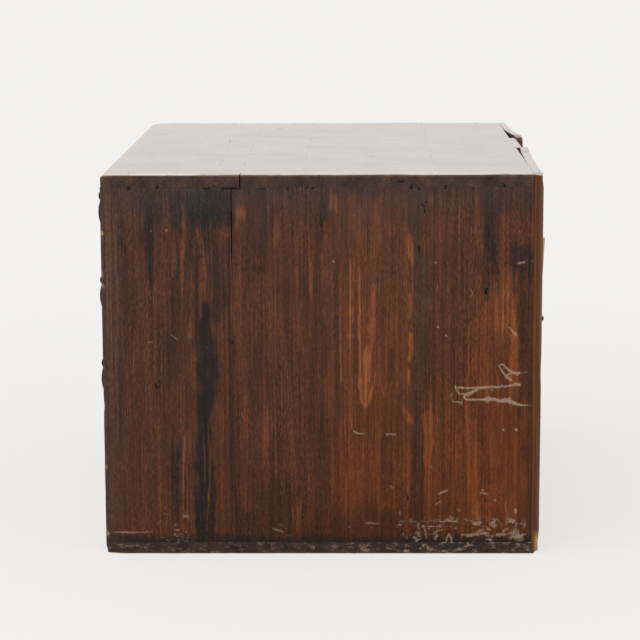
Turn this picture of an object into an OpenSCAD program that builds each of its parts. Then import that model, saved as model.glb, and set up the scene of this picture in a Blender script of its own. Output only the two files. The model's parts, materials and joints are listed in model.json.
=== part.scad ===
// Tabletop chest of seven drawers: a pegged case of thin softwood boards with three rows of
// half-width drawers over one full-width drawer, each with an iron drop bail on two cotter eyes.
// Millimetres. The front faces -Y, +Z is up, and the origin is at the middle of the base.

/* [Case] */
// Width of the case over its sides
case_w = 496; // [440:1:600]
// Depth of the case from its front edges to the outer face of the back boards
case_d = 350; // [300:1:440]
// Height of the case
case_h = 308; // [290:1:360]
// Thickness of the side boards
side_t = 10; // [8:0.5:14]
// Thickness of the top boards
top_t = 10; // [8:0.5:14]
// Thickness of the bottom boards
bottom_t = 9.5; // [8:0.5:14]
// Thickness of the back boards
back_t = 6.5; // [4:0.5:10]
// Thickness of the shelves that carry the drawers
shelf_t = 9; // [7:0.5:12]
// Thickness of the upright dividers between the half-width drawers
divider_t = 9; // [6:0.5:14]
// How far the shelves are housed into the sides
shelf_housing = 3; // [1.5:0.5:5]
// How far the dividers are housed into the boards above and below
divider_housing = 2; // [1:0.5:2.5]

/* [Board seams] */
// First seam of the side boards, measured from the front edge
side_seam_1 = 104; // [60:1:130]
// Second seam of the side boards, measured from the front edge
side_seam_2 = 175; // [140:1:200]
// Third seam of the side boards, measured from the front edge
side_seam_3 = 253; // [215:1:280]
// First seam of the top boards, measured from the front edge
top_seam_1 = 111; // [60:1:130]
// Second seam of the top boards, measured from the front edge
top_seam_2 = 161; // [140:1:200]
// Third seam of the top boards, measured from the front edge
top_seam_3 = 267; // [215:1:285]
// Seam of the two bottom boards, measured from the front edge
bottom_seam = 203; // [100:1:270]
// Width of the crack that shrinkage has opened along each seam
seam_gap = 0.4; // [0.1:0.1:0.8]
// Width of the right-hand back board
back_right_w = 242; // [150:1:260]
// Width of the left-hand back board
back_left_w = 156; // [100:1:170]
// How far the free top corner of the right-hand back board has sprung away from the case
back_right_spring = 4.4; // [0:0.2:8]
// How far the free top corner of the left-hand back board has sprung away from the case
back_left_spring = 8; // [0:0.2:12]

/* [Pegs and nails] */
// Diameter of the wooden pegs
peg_d = 4; // [2.5:0.5:6]
// Length of the wooden pegs
peg_len = 24; // [18:1:26]
// Number of pegs along each end of the top and of the bottom
pegs_per_end = 6; // [3:1:8]
// Distance of the first and last peg from the front and rear edges of the boards
peg_margin = 22; // [12:1:40]
// Diameter of the back nails
nail_d = 2.2; // [1.5:0.1:3]
// Length of the back nails under the head
nail_len = 24; // [16:1:40]
// Diameter of the nail heads
nail_head_d = 5.6; // [4:0.2:8]
// Thickness of the nail heads
nail_head_t = 0.9; // [0.5:0.1:2]
// How far the nail heads stand off the back boards
nail_lift = 0.5; // [0.4:0.1:1.5]
// Height of the lowest nail in the edge of a side
nail_first_z = 32; // [30:1:40]
// Spacing of the nails up the edge of a side
nail_pitch = 80; // [60:1:80]
// Number of nails up the edge of a side
edge_nail_count = 4; // [2:1:4]
// Number of nails along the edge of the bottom in each outer back board
bottom_nails = 3; // [2:1:4]
// Radial clearance of pegs and nails in their holes
peg_gap = 0.05; // [0.02:0.01:0.15]

/* [Drawers] */
// Height of each of the three upper drawer openings
row_h = 61.5; // [56:0.5:64]
// Thickness of the drawer fronts
front_t = 14; // [10:0.5:20]
// Thickness of the lip of a front that covers the ends of the drawer sides
front_lip = 7; // [5:0.5:9]
// Thickness of the drawer sides
drawer_side_t = 7; // [5:0.5:10]
// Thickness of the drawer backs
drawer_back_t = 7; // [5:0.5:10]
// Thickness of the drawer bottoms
drawer_bottom_t = 5; // [3:0.5:8]
// How far the drawer fronts stand back from the front edges of the case
front_setback = 1; // [0:0.5:3]
// Running clearance at each side of a drawer
drawer_side_gap = 0.8; // [0.4:0.1:1.5]
// Running clearance over a drawer front
drawer_top_gap = 1; // [0.5:0.1:2]
// Running clearance under a drawer
drawer_under_gap = 0.3; // [0.1:0.1:0.6]
// Clearance between a closed drawer and the back boards
drawer_rear_gap = 2.5; // [1:0.5:6]
// How much lower the drawer sides are than the front
drawer_side_drop = 2; // [1:0.5:6]
// How much lower the drawer back is than the front
drawer_back_drop = 6; // [2:0.5:12]

/* [Pulls] */
// Distance between the two eyes of a pull
eye_spread = 64; // [56:1:80]
// Height of the swing axis over the middle of the drawer front
pivot_rise = 14; // [10:0.5:18]
// Distance of the swing axis from the drawer front
pivot_out = 7.4; // [7:0.1:12]
// Drop of the bail from the swing axis to the middle of the grip
bail_drop = 34; // [28:0.5:36]
// Diameter of the bail rod
bail_d = 4; // [3:0.2:5]
// Diameter of the bail at the thick middle of the grip
grip_d = 5.4; // [5:0.2:7]
// How much thicker the bail is, all round, where its bends were upset
bend_swell = 0.15; // [0.1:0.05:0.3]
// Bend radius of the bail where it turns into an eye
elbow_r = 4; // [3:0.2:5]
// Bend radius of the lower corners of the bail
corner_r = 10; // [7:0.5:13]
// Angle at which the bowed legs of the bail leave the swing axis, outwards
bow_angle = 24; // [10:1:30]
// Diameter of the knobs that keep the bail in the eyes
knob_d = 6; // [5.6:0.1:7]
// Diameter of the wire of the cotter eyes
eye_wire_d = 2.6; // [2:0.1:3.2]
// Radial clearance of the bail in an eye
eye_gap = 0.35; // [0.2:0.05:0.6]
// Side clearance of an eye between the bend and the knob
eye_side_gap = 0.4; // [0.2:0.05:1]
// Diameter of the shank of a cotter
shank_d = 3.2; // [2.4:0.1:4]
// Radial clearance of the shank in the rose and in the drawer front
shank_gap = 0.15; // [0.05:0.05:0.3]
// Diameter of the clinched legs inside the drawer
clinch_d = 2; // [1.4:0.1:2.4]
// Length of each clinched leg
clinch_len = 11; // [6:0.5:14]
// Gap between the clinched legs and the wood
clinch_gap = 0.1; // [0.05:0.05:0.3]
// Diameter of the rose under each eye
rose_d = 16; // [12:0.5:17]
// Height of the domed rose
rose_h = 1.8; // [1.2:0.1:3]
// Thickness of the rose at its rim
rose_rim = 0.6; // [0.4:0.1:1]

/* [Hidden] */
$fn = 64;
// Extra length of a cut past the face that it opens in
over = 1;
// Thickness of the slices between which a sprung board is drawn
slice = 0.01;

stain = "#4a2119";
bare_wood = "#9a6b43";
iron = "#26211f";

front_y = -case_d / 2;
case_back_y = case_d / 2 - back_t;
case_depth = case_d - back_t;
inner_w = case_w - 2 * side_t;
half_opening_w = (inner_w - divider_t) / 2;
rows = ["upper", "middle", "lower"];
last_row = len(rows) - 1;
base_row_h = case_h - top_t - bottom_t - len(rows) * (row_h + shelf_t);

// Underside of the opening in row i, counted from the top
function row_z(i) = case_h - top_t - (i + 1) * row_h - i * shelf_t;

// Each drawer's name, and its opening's middle across the front, underside, width and height
half_drawers = [
    for (i = [0:last_row]) for (side = [-1, 1])
        [str(rows[i], side < 0 ? "_left" : "_right"), side * (divider_t + half_opening_w) / 2,
         row_z(i), half_opening_w, row_h]
];
drawers = concat(half_drawers, [["base", 0, bottom_t, inner_w, base_row_h]]);

function front_w(drawer) = drawer[3] - 2 * drawer_side_gap;
function front_h(drawer) = drawer[4] - drawer_under_gap - drawer_top_gap;
function pivot_z(drawer) = front_h(drawer) / 2 + pivot_rise;
drawer_len = case_depth - front_setback - drawer_rear_gap;

bail_r = bail_d / 2;
eye_r = bail_r + eye_gap + eye_wire_d / 2;
eye_half_w = eye_wire_d / 2 + eye_side_gap;
leg_x = eye_spread / 2 - eye_half_w - elbow_r;
grip_half = leg_x - corner_r;
// The bowed leg is an arc between the two bends, as steep at its foot as at its head
bow_r = (bail_drop - (elbow_r + corner_r) * cos(bow_angle)) / (2 * sin(bow_angle));
leg_y = -elbow_r * sin(bow_angle);
leg_head_z = -elbow_r * cos(bow_angle);
leg_foot_z = corner_r * cos(bow_angle) - bail_drop;
grip_y = leg_y + corner_r * sin(bow_angle);
// How far the rod runs on inside a bend before it ends, still well within the thicker bend
bend_lap = sqrt(2 * elbow_r * bend_swell / 3);
shank_bore_d = shank_d + 2 * shank_gap;

side_seams = [0, side_seam_1, side_seam_2, side_seam_3, case_depth];
top_seams = [0, top_seam_1, top_seam_2, top_seam_3, case_depth];
bottom_seams = [0, bottom_seam, case_depth];

peg_x = case_w / 2 - side_t / 2;
peg_pitch = (case_depth - 2 * peg_margin) / (pegs_per_end - 1);
peg_ys = [for (i = [0:pegs_per_end - 1]) front_y + peg_margin + i * peg_pitch];

back_right_x = case_w / 2 - back_right_w;
back_left_x = -case_w / 2 + back_left_w;
back_middle_x = (back_right_x + back_left_x) / 2;
nail_zs = [for (i = [0:edge_nail_count - 1]) nail_first_z + i * nail_pitch];
edge_nails = [for (side = [-1, 1]) for (z = nail_zs) [side * peg_x, z]];
shelf_nails = [for (i = [0:last_row]) [back_middle_x, row_z(i) - shelf_t / 2]];
top_nail = [[back_middle_x, case_h - top_t / 2]];
right_nail_pitch = back_right_w / (bottom_nails + 1);
left_nail_pitch = back_left_w / (bottom_nails + 1);
foot_nails = concat(
    [for (i = [1:bottom_nails]) [back_right_x + i * right_nail_pitch, bottom_t / 2]],
    [for (i = [1:bottom_nails]) [back_left_x - i * left_nail_pitch, bottom_t / 2]],
    [[back_middle_x, bottom_t / 2]]
);
back_nail_places = concat(edge_nails, shelf_nails, top_nail, foot_nails);

case_nodes = [
    "top_boards", "bottom_boards", "left_side_boards", "right_side_boards",
    "back_board_left", "back_board_middle", "back_board_right",
    "upper_shelf", "middle_shelf", "lower_shelf",
    "upper_divider", "middle_divider", "lower_divider",
    "top_pegs", "bottom_pegs", "back_nails"
];
drawer_pieces = [
    "_drawer_front", "_drawer_sides", "_drawer_back", "_drawer_bottom", "_bail", "_cotter_eyes"
];

// Cylinder along Y from a point towards +Y
module rod_y(d, length) {
    rotate([-90, 0, 0]) cylinder(d = d, h = length);
}

// Holes for the pegs of one level, from z upwards
module peg_holes(z, length) {
    for (side = [-1, 1]) for (y = peg_ys)
        translate([side * peg_x, y, z]) cylinder(d = peg_d + 2 * peg_gap, h = length);
}

// Holes for all back nails, through the back boards and into the rear edges of the case
module nail_holes() {
    for (place = back_nail_places)
        translate([place[0], case_d / 2 - nail_len, place[1]])
            rod_y(nail_d + 2 * peg_gap, nail_len + back_left_spring + over);
}

// Boards laid side by side from the front to the back of the case, with a crack at each seam
module board_row(seams, w, t) {
    last = len(seams) - 2;
    for (i = [0:last]) {
        start = seams[i] + (i > 0 ? seam_gap / 2 : 0);
        end = seams[i + 1] - (i < last ? seam_gap / 2 : 0);
        translate([-w / 2, front_y + start, 0]) cube([w, end - start, t]);
    }
}

// Groove for the end of a divider, from z upwards
module divider_groove(z) {
    translate([-divider_t / 2, front_y - over, z])
        cube([divider_t, case_depth + 2 * over, divider_housing + over]);
}

module top_boards() {
    color(stain)
        difference() {
            translate([0, 0, case_h - top_t]) board_row(top_seams, case_w, top_t);
            translate([0, 0, -over]) divider_groove(case_h - top_t);
            peg_holes(case_h - top_t - over, top_t + 2 * over);
            nail_holes();
        }
}

module bottom_boards() {
    color(stain)
        difference() {
            board_row(bottom_seams, case_w, bottom_t);
            peg_holes(-over, bottom_t + 2 * over);
            nail_holes();
        }
}

// Side of upright boards, with a through housing for each shelf; side is -1 or 1
module side_boards(side) {
    side_h = case_h - top_t - bottom_t;
    color(stain)
        difference() {
            translate([side * (case_w - side_t) / 2, 0, bottom_t])
                board_row(side_seams, side_t, side_h);
            for (i = [0:last_row])
                translate([0, 0, row_z(i) - shelf_t]) shelf_blank();
            peg_holes(case_h - peg_len, peg_len);
            peg_holes(0, peg_len);
            nail_holes();
        }
}

// A shelf before its divider grooves are cut
module shelf_blank() {
    shelf_w = inner_w + 2 * shelf_housing;
    translate([-shelf_w / 2, front_y, 0]) cube([shelf_w, case_depth, shelf_t]);
}

// Shelf under row i; the lowest one carries no divider on its underside
module shelf(i) {
    color(stain)
        difference() {
            translate([0, 0, row_z(i) - shelf_t]) shelf_blank();
            divider_groove(row_z(i) - divider_housing);
            if (i < last_row) translate([0, 0, -over]) divider_groove(row_z(i) - shelf_t);
            nail_holes();
        }
}

// Upright board between the two drawers of row i
module divider(i) {
    color(stain)
        translate([-divider_t / 2, front_y, row_z(i) - divider_housing])
            cube([divider_t, case_depth, row_h + 2 * divider_housing]);
}

// Slice of a back board between two x places, each standing off the case by its own spring
module back_slice(x_a, spring_a, x_b, spring_b) {
    linear_extrude(slice)
        polygon([
            [x_a, case_back_y + spring_a], [x_b, case_back_y + spring_b],
            [x_b, case_d / 2 + spring_b], [x_a, case_d / 2 + spring_a]
        ]);
}

// Outer back board, held down at its foot and its outer edge and sprung at its free top corner
module sprung_board(outer_x, free_x, spring) {
    color(stain)
        difference() {
            hull() {
                back_slice(outer_x, 0, free_x, 0);
                translate([0, 0, case_h - slice]) back_slice(outer_x, 0, free_x, spring);
            }
            nail_holes();
        }
}

module back_board_middle() {
    color(stain)
        difference() {
            translate([back_left_x, case_back_y, 0])
                cube([back_right_x - back_left_x, back_t, case_h]);
            nail_holes();
        }
}

// Pegs of one level, with their lower ends at z
module pegs(z) {
    color(bare_wood)
        for (side = [-1, 1]) for (y = peg_ys)
            translate([side * peg_x, y, z]) cylinder(d = peg_d, h = peg_len);
}

// Hand-made nails with flat round heads
module back_nails() {
    color(iron)
        for (place = back_nail_places)
            translate([place[0], case_d / 2 + nail_lift, place[1]]) {
                translate([0, -nail_len, 0]) rod_y(nail_d, nail_len + nail_head_t / 2);
                rod_y(nail_head_d, nail_head_t);
            }
}

// Puts a drawer's pieces in its opening: the origin is at the foot of the middle of its front face
module in_opening(drawer) {
    translate([drawer[1], front_y + front_setback, drawer[2] + drawer_under_gap]) children();
}

// Front with a rear lap at each end for the sides, a rabbet for the bottom and holes for the cotters
module drawer_front(drawer) {
    w = front_w(drawer);
    h = front_h(drawer);
    lap = front_t - front_lip + over;
    color(stain)
        in_opening(drawer)
            difference() {
                translate([-w / 2, 0, 0]) cube([w, front_t, h]);
                for (x = [-w / 2 - over, w / 2 - drawer_side_t])
                    translate([x, front_lip, -over])
                        cube([drawer_side_t + over, lap, h + 2 * over]);
                translate([-w / 2 - over, front_lip, -over])
                    cube([w + 2 * over, lap, drawer_bottom_t + over]);
                for (side = [-1, 1])
                    translate([side * eye_spread / 2, -over, pivot_z(drawer)])
                        rod_y(shank_bore_d, front_t + 2 * over);
            }
}

module drawer_sides(drawer) {
    w = front_w(drawer);
    side_h = front_h(drawer) - drawer_side_drop - drawer_bottom_t;
    color(bare_wood)
        in_opening(drawer)
            for (x = [-w / 2, w / 2 - drawer_side_t])
                translate([x, front_lip, drawer_bottom_t])
                    cube([drawer_side_t, drawer_len - front_lip, side_h]);
}

module drawer_back(drawer) {
    w = front_w(drawer) - 2 * drawer_side_t;
    back_h = front_h(drawer) - drawer_back_drop - drawer_bottom_t;
    color(bare_wood)
        in_opening(drawer)
            translate([-w / 2, drawer_len - drawer_back_t, drawer_bottom_t])
                cube([w, drawer_back_t, back_h]);
}

module drawer_bottom(drawer) {
    w = front_w(drawer);
    color(bare_wood)
        in_opening(drawer)
            translate([-w / 2, front_lip, 0]) cube([w, drawer_len - front_lip, drawer_bottom_t]);
}

// Puts a pull's pieces on the swing axis, midway between the eyes
module on_pivot(drawer) {
    in_opening(drawer) translate([0, -pivot_out, pivot_z(drawer)]) children();
}

// Quarter bend of the bail in the XZ plane, from the +X side of its centre round to the top,
// upset a little thicker than the rod, which runs on into it at both ends
module bail_bend(radius) {
    rotate([90, 0, 0])
        rotate_extrude(angle = 90) translate([radius, 0]) circle(d = bail_d + 2 * bend_swell);
}

// Grip that swells from the rod's thickness at its ends to its middle
module bail_grip() {
    swell = (grip_d - bail_d) / 2;
    arc_r = (grip_half * grip_half + swell * swell) / (2 * swell);
    rotate([0, 90, 0])
        rotate_extrude()
            intersection() {
                translate([0, -grip_half - bend_lap]) square([grip_d, 2 * (grip_half + bend_lap)]);
                translate([grip_d / 2 - arc_r, 0]) circle(r = arc_r, $fn = 256);
            }
}

// Leg of the bail, bowed away from the drawer front between its head and its foot
module bail_leg() {
    half = bow_angle + asin(bend_lap / bow_r);
    translate([leg_x, leg_y + bow_r * cos(bow_angle), (leg_head_z + leg_foot_z) / 2])
        rotate([90, 0, -90]) rotate([0, 0, -half])
            rotate_extrude(angle = 2 * half) translate([bow_r, 0]) circle(d = bail_d);
}

// One end of the bail: bowed leg, bends, pin through the eye, and the knob that keeps it there
module bail_end() {
    pin_x = leg_x + elbow_r;
    knob_x = eye_spread / 2 + eye_half_w + knob_d / 2;
    translate([leg_x, leg_y, leg_foot_z])
        rotate([bow_angle, 0, 0]) translate([-corner_r, 0, 0]) rotate([0, 90, 0]) bail_bend(corner_r);
    bail_leg();
    rotate([-bow_angle, 0, 0]) {
        translate([pin_x, 0, -elbow_r]) rotate([0, -90, 0]) bail_bend(elbow_r);
        translate([pin_x - bend_lap, 0, 0])
            rotate([0, 90, 0]) cylinder(d = bail_d, h = knob_x - pin_x + bend_lap);
        translate([knob_x, 0, 0]) sphere(d = knob_d);
    }
}

module bail(drawer) {
    color(iron)
        on_pivot(drawer) {
            bail_end();
            mirror([1, 0, 0]) bail_end();
            translate([0, grip_y, -bail_drop]) bail_grip();
        }
}

// Cotter: an eye, a shank through the front, and two legs clinched against the inside of the front
module cotter() {
    inner_y = pivot_out + front_t + clinch_gap + clinch_d / 2;
    rotate([0, 90, 0]) rotate_extrude() translate([eye_r, 0]) circle(d = eye_wire_d);
    translate([0, eye_r, 0]) rod_y(shank_d, inner_y - eye_r);
    translate([0, inner_y, -clinch_len]) cylinder(d = clinch_d, h = 2 * clinch_len);
}

// Domed round plate between an eye and the wood
module rose() {
    dome = rose_h - rose_rim;
    rim_r = rose_d / 2;
    dome_r = (rim_r * rim_r + dome * dome) / (2 * dome);
    rotate([90, 0, 0])
        rotate_extrude()
            intersection() {
                translate([shank_bore_d / 2, 0]) square([rim_r - shank_bore_d / 2, rose_h]);
                translate([0, rose_h - dome_r]) circle(r = dome_r, $fn = 256);
            }
}

// The two cotters and roses of one pull
module cotter_eyes(drawer) {
    color(iron)
        on_pivot(drawer)
            for (side = [-1, 1])
                translate([side * eye_spread / 2, 0, 0]) {
                    cotter();
                    translate([0, pivot_out, 0]) rose();
                }
}

top_boards();
bottom_boards();
side_boards(-1);  // left_side_boards
side_boards(1);  // right_side_boards
sprung_board(-case_w / 2, back_left_x, back_left_spring);  // back_board_left
back_board_middle();
sprung_board(case_w / 2, back_right_x, back_right_spring);  // back_board_right
for (i = [0:last_row]) {
    shelf(i);
    divider(i);
}
pegs(case_h - peg_len);  // top_pegs
pegs(0);  // bottom_pegs
back_nails();
for (drawer = drawers) {
    drawer_front(drawer);
    drawer_sides(drawer);
    drawer_back(drawer);
    drawer_bottom(drawer);
    bail(drawer);
    cotter_eyes(drawer);
}
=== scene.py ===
"""A tabletop chest of seven drawers: stained softwood boards, pegged and nailed, with iron bails."""

import json
import math
import random

import bmesh
import bpy
import numpy
from mathutils import Euler, Matrix, Vector, noise

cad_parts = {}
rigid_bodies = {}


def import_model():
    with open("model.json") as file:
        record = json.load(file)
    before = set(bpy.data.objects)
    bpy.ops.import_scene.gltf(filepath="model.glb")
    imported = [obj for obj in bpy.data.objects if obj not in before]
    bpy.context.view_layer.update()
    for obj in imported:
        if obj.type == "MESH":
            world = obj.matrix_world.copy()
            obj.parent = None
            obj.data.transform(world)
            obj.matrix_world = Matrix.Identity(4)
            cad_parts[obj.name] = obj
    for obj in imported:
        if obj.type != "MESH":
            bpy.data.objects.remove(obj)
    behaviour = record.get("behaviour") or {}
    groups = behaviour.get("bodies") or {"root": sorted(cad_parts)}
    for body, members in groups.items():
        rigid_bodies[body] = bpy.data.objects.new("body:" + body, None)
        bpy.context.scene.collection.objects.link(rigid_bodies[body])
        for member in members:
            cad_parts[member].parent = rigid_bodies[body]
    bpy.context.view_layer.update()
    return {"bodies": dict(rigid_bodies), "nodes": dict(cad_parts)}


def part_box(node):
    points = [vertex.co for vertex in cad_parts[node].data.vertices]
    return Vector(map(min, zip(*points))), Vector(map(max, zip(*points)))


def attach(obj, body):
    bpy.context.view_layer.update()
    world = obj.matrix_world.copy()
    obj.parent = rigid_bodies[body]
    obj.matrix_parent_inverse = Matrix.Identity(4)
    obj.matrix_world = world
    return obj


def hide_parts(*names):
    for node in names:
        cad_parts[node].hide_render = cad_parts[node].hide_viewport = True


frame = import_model()

# Bottom of the case
# Two thin softwood boards that run the width of the chest under both sides.
# They are pegged up into the sides, stained at their ends and left bare underneath.

MM = 0.001
HALF_WIDTH = 248
HALF_DEPTH = 175
HEIGHT = 308
TOLERANCE = 1e-6


def islands(sheet):
    """The separate boards of a mesh, each as a list of its vertices, in order of place."""
    left = set(sheet.verts)
    found = []
    for start in sheet.verts:
        if start not in left:
            continue
        left.remove(start)
        front = [start]
        board = []
        while front:
            vertex = front.pop()
            board.append(vertex)
            for edge in vertex.link_edges:
                other = edge.other_vert(vertex)
                if other in left:
                    left.remove(other)
                    front.append(other)
        found.append(board)
    return sorted(found, key=lambda board: tuple(round(c, 5) for c in board_box(board)[0]))


def board_box(board):
    """Lowest and highest corner of a board."""
    low = Vector(min(v.co[axis] for v in board) for axis in range(3))
    high = Vector(max(v.co[axis] for v in board) for axis in range(3))
    return low, high


def cut_lattice(sheet, board, ease, step):
    """Cuts a board into a lattice that is fine along its edges, so that they can be worn round."""
    low, high = board_box(board)
    geom = list(board)
    geom += list(dict.fromkeys(edge for v in board for edge in v.link_edges))
    geom += list(dict.fromkeys(face for v in board for face in v.link_faces))
    rim_cuts = (0.3, 1.0, 2.4)
    for axis in range(3):
        length = high[axis] - low[axis]
        near = [part * ease for part in rim_cuts if part * ease < 0.45 * length]
        places = [low[axis] + d for d in near] + [high[axis] - d for d in near]
        inner = length - 2 * near[-1]
        count = int(inner / step)
        places += [low[axis] + near[-1] + inner * (i + 1) / (count + 1) for i in range(count)]
        normal = Vector((axis == 0, axis == 1, axis == 2))
        for place in places:
            point = low.copy()
            point[axis] = place
            cut = bmesh.ops.bisect_plane(sheet, geom=geom, dist=TOLERANCE, plane_co=point, plane_no=normal)
            geom = cut["geom"]


def cut_face(sheet, axis, place, steps):
    """Cuts the one face of the boards that will be stained into a finer lattice, for the stain's edges."""
    for cut, step in steps.items():
        runs = {}
        for edge in sheet.edges:
            first, second = (vertex.co for vertex in edge.verts)
            length = abs(second[cut] - first[cut])
            flat = max(abs(first[axis] - place), abs(second[axis] - place)) < TOLERANCE
            if flat and length > 0.999 * edge.calc_length():
                runs.setdefault(round(length / step), []).append(edge)
        for parts, edges in sorted(runs.items()):
            if parts > 1:
                bmesh.ops.subdivide_edges(sheet, edges=edges, cuts=parts - 1, use_grid_fill=True)


def wear_edges(sheet, board, box, ease, seed, hollow=0.12 * MM):
    """Rounds the edges of a box by an uneven radius and lets the faces undulate a little."""
    low, high = box
    wear = sheet.verts.layers.float["wear"]
    thin = min(range(3), key=lambda axis: high[axis] - low[axis])
    shift = Vector((seed * 3.7, seed * 1.9, seed * 5.3))
    for vertex in board:
        p = vertex.co.copy()
        reach = sorted(min(p[axis] - low[axis], high[axis] - p[axis]) for axis in range(3))
        vertex[wear] = max(0.0, 1.0 - reach[1] / (3 * ease))
        if reach[1] < 4 * ease:
            rough = noise.noise(p * 60 + shift) + 0.6 * noise.noise(p * 190 + shift)
            nick = max(0.0, noise.noise(p * 95 - shift) - 0.3)
            corner = 1.0 + 0.9 * max(0.0, 1.0 - reach[2] / (8 * MM))
            r = ease * corner * min(1.9, max(0.35, 0.85 + 0.5 * rough + 2.4 * nick))
            core = Vector(min(max(p[axis], low[axis] + r), high[axis] - r) for axis in range(3))
            out = p - core
            if out.length > r:
                vertex.co = core + out * (r / out.length)
        if reach[0] < 10 * TOLERANCE and reach[1] > 2 * ease:
            side = 1 if high[thin] - p[thin] < p[thin] - low[thin] else -1
            vertex.co[thin] -= side * hollow * (0.5 + 0.5 * noise.noise(p * 9 + shift))


def close_seams(board, panel, across, opening):
    """Draws glued boards together at their seams, but for the cracks that shrinkage has opened."""
    overlap = 0.2 * MM
    low, high = (corner[across] for corner in board_box(board))
    for edge, outer, side in ((low, panel[0][across], -1), (high, panel[1][across], 1)):
        if abs(edge - outer) > 10 * TOLERANCE:
            for vertex in board:
                if abs(vertex.co[across] - edge) < TOLERANCE:
                    gap = 0.5 * opening(vertex.co / MM) * MM
                    vertex.co[across] = edge + side * (overlap - gap)


def chip_away(sheet, board, chips):
    """Breaks chips out of the edges; each has a place, radius and push in millimetres, and its rawness."""
    raw = sheet.verts.layers.float["raw"]
    for place, radius, push, rawness in chips:
        for vertex in board:
            away = (vertex.co - Vector(place) * MM).length / (radius * MM)
            if away < 1.0:
                bite = (1.0 - away * away) * (1.0 + 0.5 * noise.noise(vertex.co * 700))
                vertex.co += Vector(push) * MM * bite
                vertex[raw] = max(vertex[raw], rawness * min(1.0, 1.6 * bite))


def figure_boards(sheet, boards, across, thin, seed, piths=None):
    """Gives each board its own place in the tree that it was sawn from."""
    pith = sheet.verts.layers.float_vector["pith"]
    tone = sheet.verts.layers.float["tone"]
    draw = random.Random(seed)
    for number, board in enumerate(boards):
        low, high = board_box(board)
        middle = draw.uniform(low[across] - 0.03, high[across] + 0.03) / MM
        depth = (low[thin] - draw.uniform(0.02, 0.06)) / MM
        lean = draw.uniform(-0.025, 0.025)
        shade = draw.uniform(-0.05, 0.05)
        for vertex in board:
            vertex[pith] = piths[number] if piths else (middle, depth, lean)
            vertex[tone] = shade


def finish_piece(sheet, piece, materials, body, slot, *nodes):
    """Turns a mesh into a smooth-shaded piece that rides on a body in place of its nodes."""
    mesh = bpy.data.meshes.new(piece)
    sheet.to_mesh(mesh)
    sheet.free()
    mesh.shade_smooth()
    mesh.set_sharp_from_angle(angle=0.6)
    for material in materials:
        mesh.materials.append(material)
    made = bpy.data.objects.new(piece, mesh)
    bpy.context.scene.collection.objects.link(made)
    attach(made, body)
    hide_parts(*nodes)


def new_sheet(source=None):
    """A mesh, empty or copied, with the values that the wood materials read."""
    sheet = bmesh.new()
    if source:
        sheet.from_mesh(source)
    sheet.verts.layers.float_vector.new("pith")
    for label in ("tone", "wear", "raw", "grime", "soot_and_shade", "olive", "rubbed", "scratch", "pit"):
        sheet.verts.layers.float.new(label)
    return sheet


def node_copy(node):
    """A merged copy of a piece of the frame, with its flat faces whole."""
    sheet = new_sheet(frame["nodes"][node].data)
    bmesh.ops.remove_doubles(sheet, verts=sheet.verts, dist=0.002 * MM)
    bmesh.ops.dissolve_limit(sheet, angle_limit=0.002, verts=sheet.verts, edges=sheet.edges)
    return sheet


def worn_boards(piece, node, materials, grain, body="case", slot="stained_wood", ease=0.9 * MM, step=14 * MM,
                seed=1, opening=None, piths=None, chips=(), mark=None, fine=None,
                joined=((0, 0, 0), (0, 0, 0))):
    """Boards of a node, cut, worn and figured; grain gives the axes along, across and through them.

    joined tells how far, past the low and high faces of a panel, the boards run that it is fixed to.
    """
    sheet = node_copy(node)
    for board in islands(sheet):
        cut_lattice(sheet, board, ease, step)
    if fine:
        cut_face(sheet, *fine)
    boards = islands(sheet)
    figure_boards(sheet, boards, grain[1], grain[2], seed, piths)
    panel = board_box(sheet.verts)
    for number, board in enumerate(boards):
        box = panel if opening else board_box(board)
        box = (box[0] - Vector(joined[0]) * MM, box[1] + Vector(joined[1]) * MM)
        wear_edges(sheet, board, box, ease, seed + (0 if opening else 0.37 * number))
    if opening:
        for board in boards:
            close_seams(board, panel, grain[1], opening)
    chip_away(sheet, sheet.verts, chips)
    if mark:
        mark(sheet)
    finish_piece(sheet, piece, materials, body, slot, node)


def put(tree, kind, sockets=None, **settings):
    """Adds a node with its settings; each input is a value or a link."""
    made = tree.nodes.new(kind)
    for name, value in settings.items():
        setattr(made, name, value)
    for key, value in (sockets or {}).items():
        if isinstance(value, bpy.types.NodeSocket):
            tree.links.new(value, made.inputs[key])
        else:
            made.inputs[key].default_value = value
    return made


def sums(tree, operation, *terms, clamp=False):
    """Result of a Math node."""
    made = put(tree, "ShaderNodeMath", dict(enumerate(terms)), operation=operation, use_clamp=clamp)
    return made.outputs[0]


def between(tree, value, start, end, low=0.0, high=1.0):
    """A smooth step of value from low at start to high at end."""
    made = put(tree, "ShaderNodeMapRange",
               {"Value": value, "From Min": start, "From Max": end, "To Min": low, "To Max": high},
               interpolation_type="SMOOTHSTEP")
    return made.outputs[0]


def cloud(tree, place, scale, detail=2.0, rough=0.5):
    """Noise from 0 to 1, stretched by a scale for each axis, per millimetre."""
    stretched = put(tree, "ShaderNodeVectorMath", {0: place, 1: scale}, operation="MULTIPLY").outputs[0]
    made = put(tree, "ShaderNodeTexNoise",
               {"Vector": stretched, "Scale": 1.0, "Detail": detail, "Roughness": rough})
    return made.outputs["Fac"]


def colour_ramp(tree, value, stops):
    """Colour ramp over (position, colour) stops."""
    made = put(tree, "ShaderNodeValToRGB", {0: value})
    points = made.color_ramp.elements
    while len(points) < len(stops):
        points.new(0.5)
    for point, (position, colour) in zip(points, stops):
        point.position = position
        point.color = (*colour, 1.0)
    return made.outputs[0]


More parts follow.
